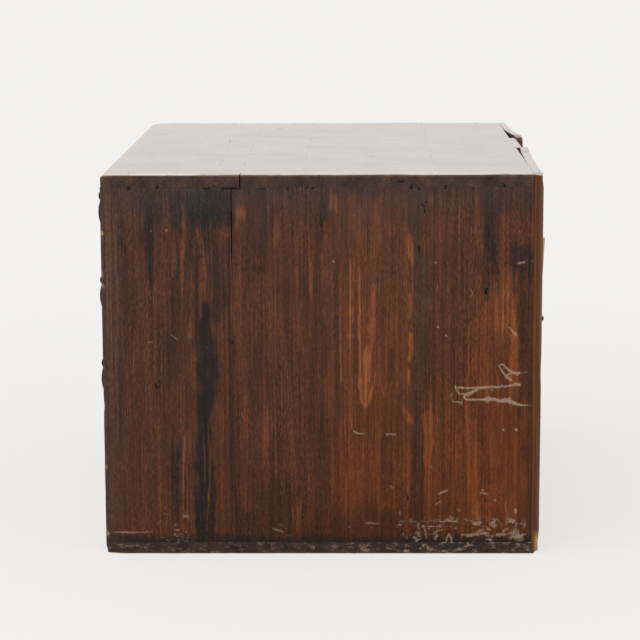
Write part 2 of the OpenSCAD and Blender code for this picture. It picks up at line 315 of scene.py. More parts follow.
def new_group(name, inputs, outputs):
    """A node group with named inputs and outputs; the names of vectors end in a star."""
    tree = bpy.data.node_groups.new(name, "ShaderNodeTree")
    for direction, labels in (("INPUT", inputs), ("OUTPUT", outputs)):
        for label in labels:
            kind = "NodeSocketVector" if label.endswith("*") else "NodeSocketFloat"
            tree.interface.new_socket(label.rstrip("*"), in_out=direction, socket_type=kind)
    return tree, tree.nodes.new("NodeGroupInput").outputs, tree.nodes.new("NodeGroupOutput").inputs


def wood_figure():
    """Growth rings about a pith that wanders along the tree, with fibres, streaks and blotches."""
    tree, given, made = new_group("wood figure", ("Place*", "Pith*", "Ring width"),
                                  ("Latewood", "Fibre", "Line", "Streak", "Blotch", "Mottle", "Grit"))
    place = given["Place"]
    at = put(tree, "ShaderNodeSeparateXYZ", {0: place}).outputs
    pith = put(tree, "ShaderNodeSeparateXYZ", {0: given["Pith"]}).outputs
    shifted = put(tree, "ShaderNodeVectorMath", {0: place, 1: given["Pith"]}, operation="ADD").outputs[0]
    sway = 9.0
    wander = cloud(tree, shifted, (0.007, 0.016, 0.016), 2.0)
    rise = cloud(tree, shifted, (0.006, 0.012, 0.016), 1.0)
    across = sums(tree, "SUBTRACT", at[1], pith[0])
    across = sums(tree, "MULTIPLY_ADD", sums(tree, "SUBTRACT", wander, 0.5), sway, across)
    through = sums(tree, "SUBTRACT", at[2], pith[1])
    through = sums(tree, "MULTIPLY_ADD", sums(tree, "SUBTRACT", rise, 0.5), sway, through)
    through = sums(tree, "MULTIPLY_ADD", at[0], pith[2], through)
    radius = put(tree, "ShaderNodeCombineXYZ", {0: across, 1: through}).outputs[0]
    radius = put(tree, "ShaderNodeVectorMath", {0: radius}, operation="LENGTH").outputs["Value"]
    uneven = put(tree, "ShaderNodeTexNoise", {"W": radius, "Scale": 0.13, "Detail": 2.0},
                 noise_dimensions="1D").outputs["Fac"]
    ring = sums(tree, "DIVIDE", radius, given["Ring width"])
    ring = sums(tree, "MULTIPLY_ADD", uneven, 3.0, ring)
    ring = sums(tree, "FRACT", ring)
    late = between(tree, ring, 0.3, 0.9)
    ends = between(tree, ring, 1.0, 0.92)
    tree.links.new(sums(tree, "MULTIPLY", late, ends), made["Latewood"])
    tree.links.new(cloud(tree, shifted, (0.010, 0.80, 0.80), 3.0, 0.6), made["Fibre"])
    tree.links.new(cloud(tree, shifted, (0.006, 0.27, 0.27), 2.0, 0.55), made["Line"])
    tree.links.new(cloud(tree, shifted, (0.0024, 0.055, 0.055), 3.0, 0.6), made["Streak"])
    tree.links.new(cloud(tree, shifted, (0.012, 0.022, 0.022), 3.0, 0.6), made["Blotch"])
    tree.links.new(cloud(tree, shifted, (0.045, 0.085, 0.085), 5.0, 0.7), made["Mottle"])
    tree.links.new(cloud(tree, shifted, (0.28, 0.85, 0.85), 2.0, 0.6), made["Grit"])
    return tree


figure_group = wood_figure()


class Timber:
    """A wood material in the making: its nodes, its place in millimetres and its figure."""

    def __init__(self, name, grain, ring_width, gloss):
        self.material = bpy.data.materials.new(name)
        self.material.use_nodes = True
        self.tree = self.material.node_tree
        self.shader = self.tree.nodes["Principled BSDF"]
        self.shader.inputs["Specular IOR Level"].default_value = gloss
        object_place = put(self.tree, "ShaderNodeTexCoord").outputs
        millimetres = put(self.tree, "ShaderNodeVectorMath",
                          {0: object_place["Object"], 1: (1000, 1000, 1000)}, operation="MULTIPLY")
        self.at = put(self.tree, "ShaderNodeSeparateXYZ", {0: millimetres.outputs[0]}).outputs
        along, across, through = ("XYZ".index(letter) for letter in grain)
        turned = put(self.tree, "ShaderNodeCombineXYZ",
                     {0: self.at[along], 1: self.at[across], 2: self.at[through]})
        self.place = turned.outputs[0]
        pith = put(self.tree, "ShaderNodeAttribute", attribute_name="pith").outputs["Vector"]
        figure = put(self.tree, "ShaderNodeGroup", node_tree=figure_group)
        self.tree.links.new(self.place, figure.inputs["Place"])
        self.tree.links.new(pith, figure.inputs["Pith"])
        figure.inputs["Ring width"].default_value = ring_width
        self.figure = figure.outputs
        self.wear = self.value("wear")
        self.tone = self.value("tone")
        normal = put(self.tree, "ShaderNodeSeparateXYZ", {0: object_place["Normal"]}).outputs
        self.end_grain = self.step(self.sum("ABSOLUTE", normal[along]), 0.45, 0.8)

    def value(self, label):
        """A value that the mesh carries."""
        return put(self.tree, "ShaderNodeAttribute", attribute_name=label).outputs["Fac"]

    def sum(self, operation, *terms, clamp=False):
        return sums(self.tree, operation, *terms, clamp=clamp)

    def step(self, value, start, end, low=0.0, high=1.0):
        return between(self.tree, value, start, end, low, high)

    def cloud(self, scale, detail=2.0, rough=0.5):
        return cloud(self.tree, self.place, scale, detail, rough)

    def about(self, value, amount, middle):
        """A value from 0 to 1 turned into a swing of amount about the middle."""
        return self.sum("MULTIPLY_ADD", self.sum("SUBTRACT", value, 0.5), amount, middle)

    def mix(self, amount, first, second):
        """Colour mix; first and second are colours or links."""
        made = put(self.tree, "ShaderNodeMix", data_type="RGBA")
        for socket, value in ((made.inputs[0], amount), (made.inputs[6], first), (made.inputs[7], second)):
            if isinstance(value, bpy.types.NodeSocket):
                self.tree.links.new(value, socket)
            else:
                socket.default_value = value if isinstance(value, float) else (*value, 1.0)
        return made.outputs[2]

    def times(self, colour, factor):
        """A colour times a factor or another colour."""
        made = put(self.tree, "ShaderNodeMix", {0: 1.0}, data_type="RGBA", blend_type="MULTIPLY")
        self.tree.links.new(colour, made.inputs[6])
        self.tree.links.new(factor, made.inputs[7])
        return made.outputs[2]

    def ramp(self, value, stops):
        return colour_ramp(self.tree, value, stops)

    def grain_tone(self, **amounts):
        """Lightness of the wood before stains, marks and wear, about 0.5, from amounts of its figure."""
        tone = self.sum("ADD", self.tone, 0.5)
        for label, amount in amounts.items():
            tone = self.about(self.figure[label], amount, tone)
        return tone

    def stained(self, tone, late=0.20):
        """Dark red-brown stain over the grain, soaked darker into end grain and rubbed thin on edges."""
        colour = self.ramp(tone, ((0.0, (0.016, 0.012, 0.010)), (0.25, (0.042, 0.022, 0.0155)),
                                  (0.5, (0.096, 0.035, 0.0185)), (0.75, (0.168, 0.050, 0.019)),
                                  (1.0, (0.300, 0.100, 0.030))))
        strength = self.sum("MULTIPLY", self.figure["Latewood"], self.step(self.figure["Streak"], 0.3, 0.6))
        colour = self.mix(self.sum("MULTIPLY", strength, late), colour, (0.022, 0.012, 0.009))
        soaked = self.ramp(tone, ((0.15, (0.018, 0.0125, 0.0105)), (0.45, (0.048, 0.031, 0.024)),
                                  (0.85, (0.120, 0.066, 0.042))))
        colour = self.mix(self.sum("MULTIPLY", self.end_grain, 0.85), colour, soaked)
        patchy = self.step(self.cloud((0.05, 0.08, 0.08), 4.0, 0.65), 0.50, 0.68)
        rubbed = self.sum("MULTIPLY", self.sum("MULTIPLY", self.wear, patchy), 0.45)
        return self.mix(rubbed, colour, (0.17, 0.075, 0.032))

    def bare(self):
        """Aged wood that was never stained, darker in its latewood and end grain."""
        colour = self.ramp(self.grain_tone(Streak=0.7, Line=0.3, Blotch=0.5, Fibre=0.4),
                           ((0.0, (0.10, 0.055, 0.028)), (0.4, (0.24, 0.145, 0.078)),
                            (0.75, (0.36, 0.235, 0.135)), (1.0, (0.46, 0.32, 0.20))))
        colour = self.mix(self.sum("MULTIPLY", self.figure["Latewood"], 0.4), colour, (0.13, 0.065, 0.03))
        return self.mix(self.sum("MULTIPLY", self.end_grain, 0.5), colour, (0.09, 0.05, 0.028))

    def finish(self, colour, dull, depth=0.12 * MM, relief="Fibre"):
        """Links the colour, a roughness between the two dull values, and a relief of the grain."""
        colour = self.mix(self.value("raw"), colour, (0.62, 0.36, 0.14))
        self.tree.links.new(colour, self.shader.inputs["Base Color"])
        self.tree.links.new(self.step(self.figure[relief], 0.2, 0.8, *dull), self.shader.inputs["Roughness"])
        height = self.sum("MULTIPLY_ADD", self.figure["Latewood"], 0.5, self.figure["Fibre"])
        if relief != "Fibre":
            height = self.figure[relief]
        bump = put(self.tree, "ShaderNodeBump", {"Height": height, "Distance": depth, "Strength": 0.6})
        self.tree.links.new(bump.outputs[0], self.shader.inputs["Normal"])
        return self.material


def bottom_wood():
    timber = Timber("bottom_wood", "XYZ", 3.4, 0.15)
    tone = timber.grain_tone(Streak=0.5, Blotch=0.3, Mottle=0.9, Fibre=0.5, Grit=0.7)
    tone = timber.sum("SUBTRACT", tone, 0.16)
    underside = timber.step(timber.at[2], 1.4, 0.4)
    colour = timber.mix(underside, timber.stained(tone), timber.bare())
    scuffs = timber.step(timber.cloud((0.4, 0.13, 0.26), 6.0, 0.76), 0.53, 0.62)
    most = timber.step(timber.at[1], -20.0, 70.0, 0.40, 0.85)
    colour = timber.mix(timber.sum("MULTIPLY", scuffs, most), colour, (0.30, 0.21, 0.14))
    return timber.finish(colour, (0.42, 0.62))


def bottom_opening(at):
    return max(0.0, 0.5 * noise.noise(Vector((at.x * 0.02, 3.1, 0.7))))


BOTTOM_CHIPS = (((248, -175, 0), 5, (-0.9, 1.2, 1.0), 0.0), ((-248, -175, 0), 6, (1.6, 1.8, 1.2), 0.0))
worn_boards("bottom", "bottom_boards", [bottom_wood()], (0, 1, 2), ease=0.6 * MM, seed=11,
            opening=bottom_opening, chips=BOTTOM_CHIPS, joined=((0, 0, 0), (0, 20, 20)))

# Right side
# Four upright boards glued edge to edge, stained nearly black in broad bands that follow the grain.
# Shrinkage has cracked the seams, the foot is scuffed, and something sharp was dragged near the back edge.


def smooth(values, start, end):
    """A smooth step from 0 at start to 1 at end."""
    share = numpy.clip((values - start) / (end - start), 0.0, 1.0)
    return share * share * (3 - 2 * share)


def patches(across, along, waves, places):
    """Stained patches; each is from and to across the boards, low and high along them, and an amount.

    Their outlines sway with broad and fine waves, and their ends run out along the fibres.
    """
    broad, fine, fibres = waves
    total = numpy.zeros(len(across))
    for start, end, low, high, amount in places:
        wide, tall = end - start, high - low
        soft = min(2.2, 0.08 * wide + 0.30)
        fade = min(20.0, 0.20 * tall + 1.0)
        swayed = across + min(6.0, 0.25 * wide) * broad + min(2.5, 0.15 * wide) * fine
        run = along + min(30.0, 0.30 * tall) * fibres + min(12.0, 0.15 * tall) * broad
        mask = smooth(swayed, start - soft, start + soft) * smooth(swayed, end + soft, end - soft)
        mask *= smooth(run, low - fade, low + fade) * smooth(run, high + fade, high - fade)
        total = numpy.maximum(total, amount * mask)
    return total


LINE_CORE = 0.45
FINEST = 0.75


def nearest_line(places, lines):
    """For each place, the strongest of the lines there; it is nothing beside a line.

    A line is its strength and its points: across, along and the half width there.
    """
    strongest = numpy.zeros(len(places))
    for strength, *points in lines:
        for (a, b, width), (c, d, next_width) in zip(points, points[1:]):
            run = numpy.array((c - a, d - b))
            reach = places[:, :2] - (a, b)
            share = numpy.clip(reach @ run / max(run @ run, 1e-9), 0.0, 1.0)
            away = numpy.linalg.norm(reach - share[:, None] * run, axis=1)
            wide = (width + share * (next_width - width)) * places[:, 2]
            strongest = numpy.maximum(strongest, strength * smooth(away, wide, LINE_CORE * wide))
    return strongest


def paint_lines(sheet, facing, across, along, **kinds):
    """Paints ragged scratches and pits on the faces that look one way; axes come with their offsets."""
    lines = [line for kind in kinds.values() for line in kind]
    facing = Vector(facing)
    margin = 1.6
    most_cuts = 5

    def spread(co):
        return co[across[0]] / MM + across[1], co[along[0]] / MM + along[1]
    even = [(1.0, *((a, b, 1.0) for a, b, width in points)) for strength, *points in lines]
    sheet.normal_update()
    faces = list(sheet.faces)
    for cut in range(most_cuts):
        faces = [face for face in faces if face.normal.dot(facing) > 0.9]
        sizes = numpy.array([max(edge.calc_length() for edge in face.edges) / MM for face in faces])
        middles = numpy.array([(*spread(face.calc_center_median()), margin + size / LINE_CORE)
                               for face, size in zip(faces, sizes)])
        near = nearest_line(middles, even)
        edges = dict.fromkeys(edge for face, hit, size in zip(faces, near, sizes) if hit > 0 and size > FINEST
                              for edge in face.edges if edge.calc_length() > FINEST * MM)
        if not edges:
            break
        made = bmesh.ops.subdivide_edges(sheet, edges=list(edges), cuts=1, use_grid_fill=True)
        fresh = made["geom_inner"] + made["geom_split"]
        corners = [item for item in fresh if isinstance(item, bmesh.types.BMVert)]
        faces = list(dict.fromkeys(face for vertex in corners for face in vertex.link_faces))
        sheet.normal_update()
    painted = [vertex for vertex in sheet.verts if vertex.normal.dot(facing) > 0.5]
    places = numpy.array([(*spread(vertex.co), 1.0) for vertex in painted])
    for number, vertex in enumerate(painted):
        spot = vertex.co / MM
        places[number, 0] += 0.5 * noise.noise(spot * 0.45)
        places[number, 1] += 0.5 * noise.noise(spot * 0.45 + Vector((9, 4, 2)))
        places[number, 2] = 1.0 + 0.75 * noise.noise(spot * 0.8)
    for label, kind in kinds.items():
        layer = sheet.verts.layers.float[label]
        for vertex, amount in zip(painted, nearest_line(places, kind)):
            vertex[layer] = amount


def paint_side(seed, facing, lines, stains, streaks):
    """Returns a job that stains a side in ragged patches and tapering streaks and scratches it."""
    def job(sheet):
        paint_lines(sheet, facing, (1, HALF_DEPTH), (2, 0), **lines)
        across = numpy.array([vertex.co.y / MM + HALF_DEPTH for vertex in sheet.verts])
        along = numpy.array([vertex.co.z / MM for vertex in sheet.verts])
        waves = []
        for turn, sideways, upwards in ((0, 0.035, 0.028), (3, 0.11, 0.09), (5, 0.28, 0.006)):
            spots_there = zip(across * sideways, along * upwards)
            waves.append(numpy.array([noise.noise(Vector((seed + turn, a, b))) for a, b in spots_there]))
        swayed = numpy.column_stack((across + 0.7 * waves[1], along, 1.0 + 0.5 * waves[1] + 0.4 * waves[2]))
        for label, places in stains.items():
            layer = sheet.verts.layers.float[label]
            amounts = patches(across, along, waves, places)
            amounts = numpy.maximum(amounts, nearest_line(swayed, streaks.get(label, ())))
            if label in ("soot_and_shade", "olive"):
                amounts = amounts * (1.0 - 0.9 * nearest_line(swayed, streaks["rubbed"]))
            for vertex, amount in zip(sheet.verts, amounts):
                vertex[layer] = amount
    return job


def side_wood(name, inner_x):
    """Stained side boards; patches, scratches and pits are painted on the mesh, and painted shade, sheen and
    light tint go into the colour.
    """
    timber = Timber(name, "ZYX", 3.0, 0.12)
    lines = timber.step(timber.cloud((0.009, 0.42, 0.42), 4.0, 0.65), 0.33, 0.67, 0.30, 1.55)
    cloudy = timber.about(timber.figure["Mottle"], 1.7, 1.0)
    tone = timber.grain_tone(Streak=0.35, Blotch=0.30, Line=0.35, Fibre=0.45, Mottle=0.35, Grit=0.45)
    colour = timber.stained(tone, 0.12)
    rubbed = timber.sum("MULTIPLY", timber.value("rubbed"), timber.sum("MULTIPLY", lines, cloudy), clamp=True)
    colour = timber.mix(rubbed, colour, (0.310, 0.098, 0.038))
    latewood = timber.sum("MULTIPLY", timber.figure["Latewood"], 0.14)
    colour = timber.mix(latewood, colour, (0.035, 0.014, 0.009))
    # Dark stain patches, together with a band of painted shade under the top, darken the wood here.
    soot_and_shade = timber.sum("MULTIPLY", timber.value("soot_and_shade"), cloudy, clamp=True)
    soot_and_shade_colour = timber.ramp(tone, ((0.2, (0.014, 0.011, 0.0105)), (0.8, (0.031, 0.022, 0.019))))
    colour = timber.mix(soot_and_shade, colour, soot_and_shade_colour)
    olive = timber.sum("MULTIPLY", timber.value("olive"), cloudy, clamp=True)
    oily = timber.ramp(tone, ((0.2, (0.035, 0.0225, 0.017)), (0.8, (0.076, 0.047, 0.032))))
    colour = timber.mix(olive, colour, oily)
    # Painted sheen: a greyish haze is mixed into the colour near the top and along the front edge.
    near_top = timber.step(timber.at[2], 262.0, 296.0)
    near_front = timber.step(timber.at[1], -152.0, -172.0)
    painted_sheen = timber.sum("MAXIMUM", near_top, near_front)
    painted_sheen = timber.sum("MULTIPLY", painted_sheen, timber.about(timber.figure["Mottle"], 1.2, 0.36), clamp=True)
    colour = timber.mix(painted_sheen, colour, (0.066, 0.051, 0.043))
    # Painted light: the colour is tinted cooler toward the top and front and warmer toward the foot and back,
    # as the light falling on the side tints it.
    painted_light_tint = timber.sum("MULTIPLY_ADD", timber.at[2], -0.0031, timber.sum("MULTIPLY", timber.at[1], 0.0019))
    colour = timber.times(colour, timber.ramp(timber.sum("ADD", painted_light_tint, 1.0), (
        (0.00, (0.92, 1.00, 1.08)), (0.50, (1.00, 0.97, 0.90)), (1.00, (1.00, 0.80, 0.48)))))
    fine = timber.about(timber.figure["Fibre"], 1.0, timber.about(timber.figure["Grit"], 1.0, 0.0))
    fine = timber.sum("MULTIPLY_ADD", fine, timber.step(timber.figure["Blotch"], 0.36, 0.64, 0.45, 1.4), 1.0)
    colour = timber.times(colour, fine)
    dust = timber.step(timber.cloud((0.55, 0.55, 0.55), 2.0), 0.68, 0.76)
    colour = timber.mix(timber.sum("MULTIPLY", dust, 0.4), colour, (0.17, 0.11, 0.08))
    scuffed = timber.step(timber.cloud((0.16, 0.085, 0.1), 6.0, 0.72), 0.55, 0.64)
    scuffed = timber.sum("MULTIPLY", scuffed, timber.value("grime"), clamp=True)
    colour = timber.mix(scuffed, colour, (0.27, 0.185, 0.135))
    gritty = timber.about(timber.figure["Grit"], 1.6, 0.85)
    worn = timber.sum("MULTIPLY", timber.value("scratch"), gritty, clamp=True)
    colour = timber.mix(worn, colour, (0.37, 0.255, 0.18))
    colour = timber.mix(timber.value("pit"), colour, (0.003, 0.002, 0.002))
    inside = timber.step(timber.sum("MULTIPLY", timber.at[0], 1.0 if inner_x > 0 else -1.0),
                         abs(inner_x) + 1.6, abs(inner_x) + 0.8)
    colour = timber.mix(inside, colour, timber.bare())
    return timber.finish(colour, (0.46, 0.66))


FAINT = 0.12
LIGHT = 0.25
HALF = 0.5
STRONG = 0.75
FULL = 1.0
# Dark patches: from and to across, low and high along, and an amount. The row from 292 to 299, just under the
# top, is painted shade; the row from 1 to 15 darkens the foot, and the others are dark stain.
RIGHT_SOOT_AND_SHADE = (
    (4, 350, 292, 299, LIGHT), (14, 36, 278, 299, LIGHT), (34, 41, 230, 296, STRONG),
    (41, 50, 267, 298, HALF), (55, 65, 263, 298, STRONG), (68, 104, 266, 296, FULL),
    (101, 106, 5, 184, HALF), (12, 19, 94, 184, HALF), (50, 66, 140, 181, LIGHT),
    (40, 46, 133, 144, LIGHT), (53, 61, 28, 89, STRONG), (46, 50, 69, 131, LIGHT),
    (117, 127, 5, 184, LIGHT), (121, 131, 230, 238, HALF), (123, 157, 7, 56, HALF),
    (174, 181, 270, 296, STRONG), (174, 185, 166, 219, LIGHT), (185, 189, 166, 251, LIGHT),
    (174, 182, 7, 127, HALF), (262, 297, 296, 301, HALF), (302, 315, 229, 296, STRONG),
    (314, 345, 278, 304, HALF), (326, 343, 221, 253, STRONG), (332, 340, 159, 224, HALF),
    (339, 345, 7, 127, FAINT), (0, 346, 1, 15, FULL), (157, 254, 5, 20, HALF),
    (231, 237, 184, 256, FAINT), (100, 160, 4, 42, HALF), (168, 240, 4, 38, HALF),
    (74, 88, 2, 92, FULL), (246, 257, 25, 94, HALF), (250, 254, 92, 127, LIGHT),
)
RIGHT_OLIVE = (
    (248, 258, 125, 174, HALF), (250, 254, 92, 127, LIGHT), (246, 257, 25, 94, FAINT),
    (28, 34, 256, 296, LIGHT), (276, 293, 172, 238, FAINT),
)
RIGHT_RUBBED = (
    (108, 115, 273, 282, STRONG), (105, 108, 184, 227, LIGHT), (115, 119, 184, 227, FAINT),
    (137, 143, 255, 270, LIGHT), (131, 139, 184, 259, FAINT), (157, 160, 167, 208, LIGHT),
    (155, 157, 216, 267, LIGHT), (166, 168, 208, 238, HALF), (23, 27, 127, 172, FAINT),
    (128, 135, 89, 120, LIGHT), (151, 158, 21, 44, HALF), (182, 189, 278, 294, HALF),
    (196, 207, 252, 294, LIGHT), (211, 222, 238, 290, LIGHT), (193, 195, 28, 130, HALF),
    (196, 199, 32, 127, FAINT), (199, 215, 25, 102, FAINT), (224, 236, 256, 275, LIGHT),
    (215, 223, 28, 127, LIGHT), (244, 249, 238, 261, STRONG), (244, 248, 190, 238, FAINT),
    (239, 247, 49, 120, FAINT), (257, 264, 29, 123, HALF), (264, 271, 34, 110, LIGHT),
    (256, 262, 199, 211, LIGHT), (264, 277, 247, 280, FAINT), (261, 265, 283, 294, LIGHT),
    (296, 302, 247, 293, LIGHT), (295, 301, 216, 230, FAINT), (311, 330, 172, 219, HALF),
    (315, 324, 179, 197, STRONG), (324, 332, 125, 176, HALF), (270, 300, 28, 127, FAINT),
    (291, 300, 28, 123, HALF), (309, 339, 28, 123, LIGHT), (296, 303, 28, 44, HALF),
    (301, 317, 127, 172, LIGHT), (326, 331, 285, 296, LIGHT), (222, 245, 165, 265, FAINT),
    (291, 315, 140, 206, LIGHT), (178, 246, 120, 288, FAINT),
)
RIGHT_STREAKS = (
    (FAINT, (5, 291, 1.5), (7, 256, 5), (7, 185, 3)),
    (LIGHT, (11, 270, 0.5), (12, 238, 1.5), (13, 198, 0.5)),
    (HALF, (58, 264, 1), (58, 240, 2), (57, 227, 1)),
    (HALF, (66, 283, 0.5), (66.5, 270, 1.5), (65, 240, 1.5), (64, 211, 0.5)),
    (LIGHT, (71, 240, 1), (72, 220, 2), (70.5, 177, 2)),
    (LIGHT, (77, 273, 0.5), (77, 266, 1.5), (77, 258, 0.5)),
    (HALF, (82, 251, 0.5), (82.5, 235, 1.5), (83, 205, 0.5)),
    (FAINT, (79, 234, 0.5), (78.5, 214, 2.5), (79, 192, 0.5)),
    (FAINT, (95, 259, 0.5), (95, 248, 1.5), (94, 237, 0.5)),
    (FAINT, (96.5, 283, 1.5), (98, 270, 3), (100, 259, 2)),
    (HALF, (190, 219, 0.5), (190, 184, 1), (191, 140, 0.5)),
    (STRONG, (198, 238, 0.5), (198, 172, 1), (198, 130, 1), (199, 104, 0.5)),
    (FULL, (201, 238, 0.7), (200.5, 190, 0.7)),
    (FULL, (205.5, 234, 0.7), (205, 176, 1), (205.5, 138, 1.2)),
    (FULL, (206, 137, 1.3), (207, 128, 1.8), (209.5, 122, 1.8), (211.5, 123, 1.6), (214, 129, 1.5),
     (218, 148, 0.8)),
    (STRONG, (210, 125, 2.5), (209.5, 140, 5), (211, 160, 5), (212, 169, 3)),
    (LIGHT, (227, 176, 0.7), (226, 155, 1), (225, 130, 0.7)),
    (HALF, (217, 219, 2), (217, 200, 4.5), (216, 185, 5), (215, 169, 2.5)),
    (HALF, (245, 219, 1), (245.5, 205, 2.5), (245, 192, 1.5)),
    (FULL, (246, 180, 2), (246.5, 168, 2.5), (245.5, 158, 1.5)),
    (STRONG, (244.5, 150, 2.5), (245, 140, 2)),
    (HALF, (241, 119, 2.5), (246, 110, 3.5)),
    (HALF, (65, 97, 1), (63, 65, 1.2), (62, 11, 1)),
    (HALF, (69, 102, 1.5), (69, 90, 1.5), (68, 80, 0.7)),
    (FAINT, (92, 125, 2.5), (95, 112, 4), (94, 85, 2), (93, 11, 1.5)),
    (HALF, (80, 107, 0.5), (80, 92, 1), (81, 59, 0.5)),
    (HALF, (83.5, 107, 0.5), (84.5, 85, 1.2), (85, 65, 1), (82, 30, 1.2), (81.5, 18, 0.5)),
    (LIGHT, (67, 76, 0.5), (66.5, 45, 1), (65.5, 13, 0.5)),
    (LIGHT, (109, 286, 2.5), (110.5, 277, 5), (107.5, 263, 1.5)),
    (LIGHT, (139.5, 276, 1), (139.5, 264, 3), (139, 251, 2)),
)
RIGHT_SHADOWS = (
    (HALF, (17, 270, 4.5), (17.5, 248, 6.5), (16.5, 216, 6.5), (17.5, 190, 4.5)),
    (HALF, (37, 299, 5.5), (37, 256, 5.5), (39, 230, 3.5), (40, 220, 1.5)),
    (HALF, (57, 280, 2.5), (58, 270, 4.5), (60, 245, 3), (59, 220, 4), (57.5, 177, 4.5)),
    (HALF, (71, 296, 8.5), (72, 268, 6), (71, 247, 4), (69, 237, 2)),
    (HALF, (76, 254, 2.5), (76.5, 238, 3.5), (75, 212, 3), (77, 171, 6.5)),
    (HALF, (85, 280, 7.5), (88, 250, 8), (95, 208, 8.5), (90, 195, 8.5)),
    (FULL, (83, 203, 4.5), (82, 180, 8), (85, 148, 10.5), (80, 110, 7), (80.5, 44, 9), (81, 3, 8)),
    (FAINT, (90.5, 158, 5.5), (92, 147, 6.5), (93.5, 131, 4.5)),
    (STRONG, (102, 258, 1.5), (102, 203, 1.5)),
    (HALF, (55, 177, 6.5), (55.5, 164, 6.5)),
    (HALF, (187.5, 190, 2), (189, 112, 2)),
    (HALF, (231, 167, 2), (230.5, 153, 3), (229.5, 143, 1.5)),
    (HALF, (307, 298, 6.5), (308, 265, 8.5), (307, 230, 5.5), (306, 208, 2.5)),
    (LIGHT, (276, 299, 7), (278, 290, 7)),
)
RIGHT_DRIPS = (
    (STRONG, (250, 301, 12), (251, 270, 10.5), (251.5, 262, 6.5), (251, 253, 4), (254, 238, 7),
     (256, 215, 8.5), (254.5, 166, 9), (253.5, 150, 5.5)),
    (HALF, (128, 276, 3), (129.5, 263, 5.5), (128.5, 251, 3)),
)


def spots(strength, *places):
    """Round marks, as lines that end where they start."""
    return tuple((strength, place, place) for place in places)


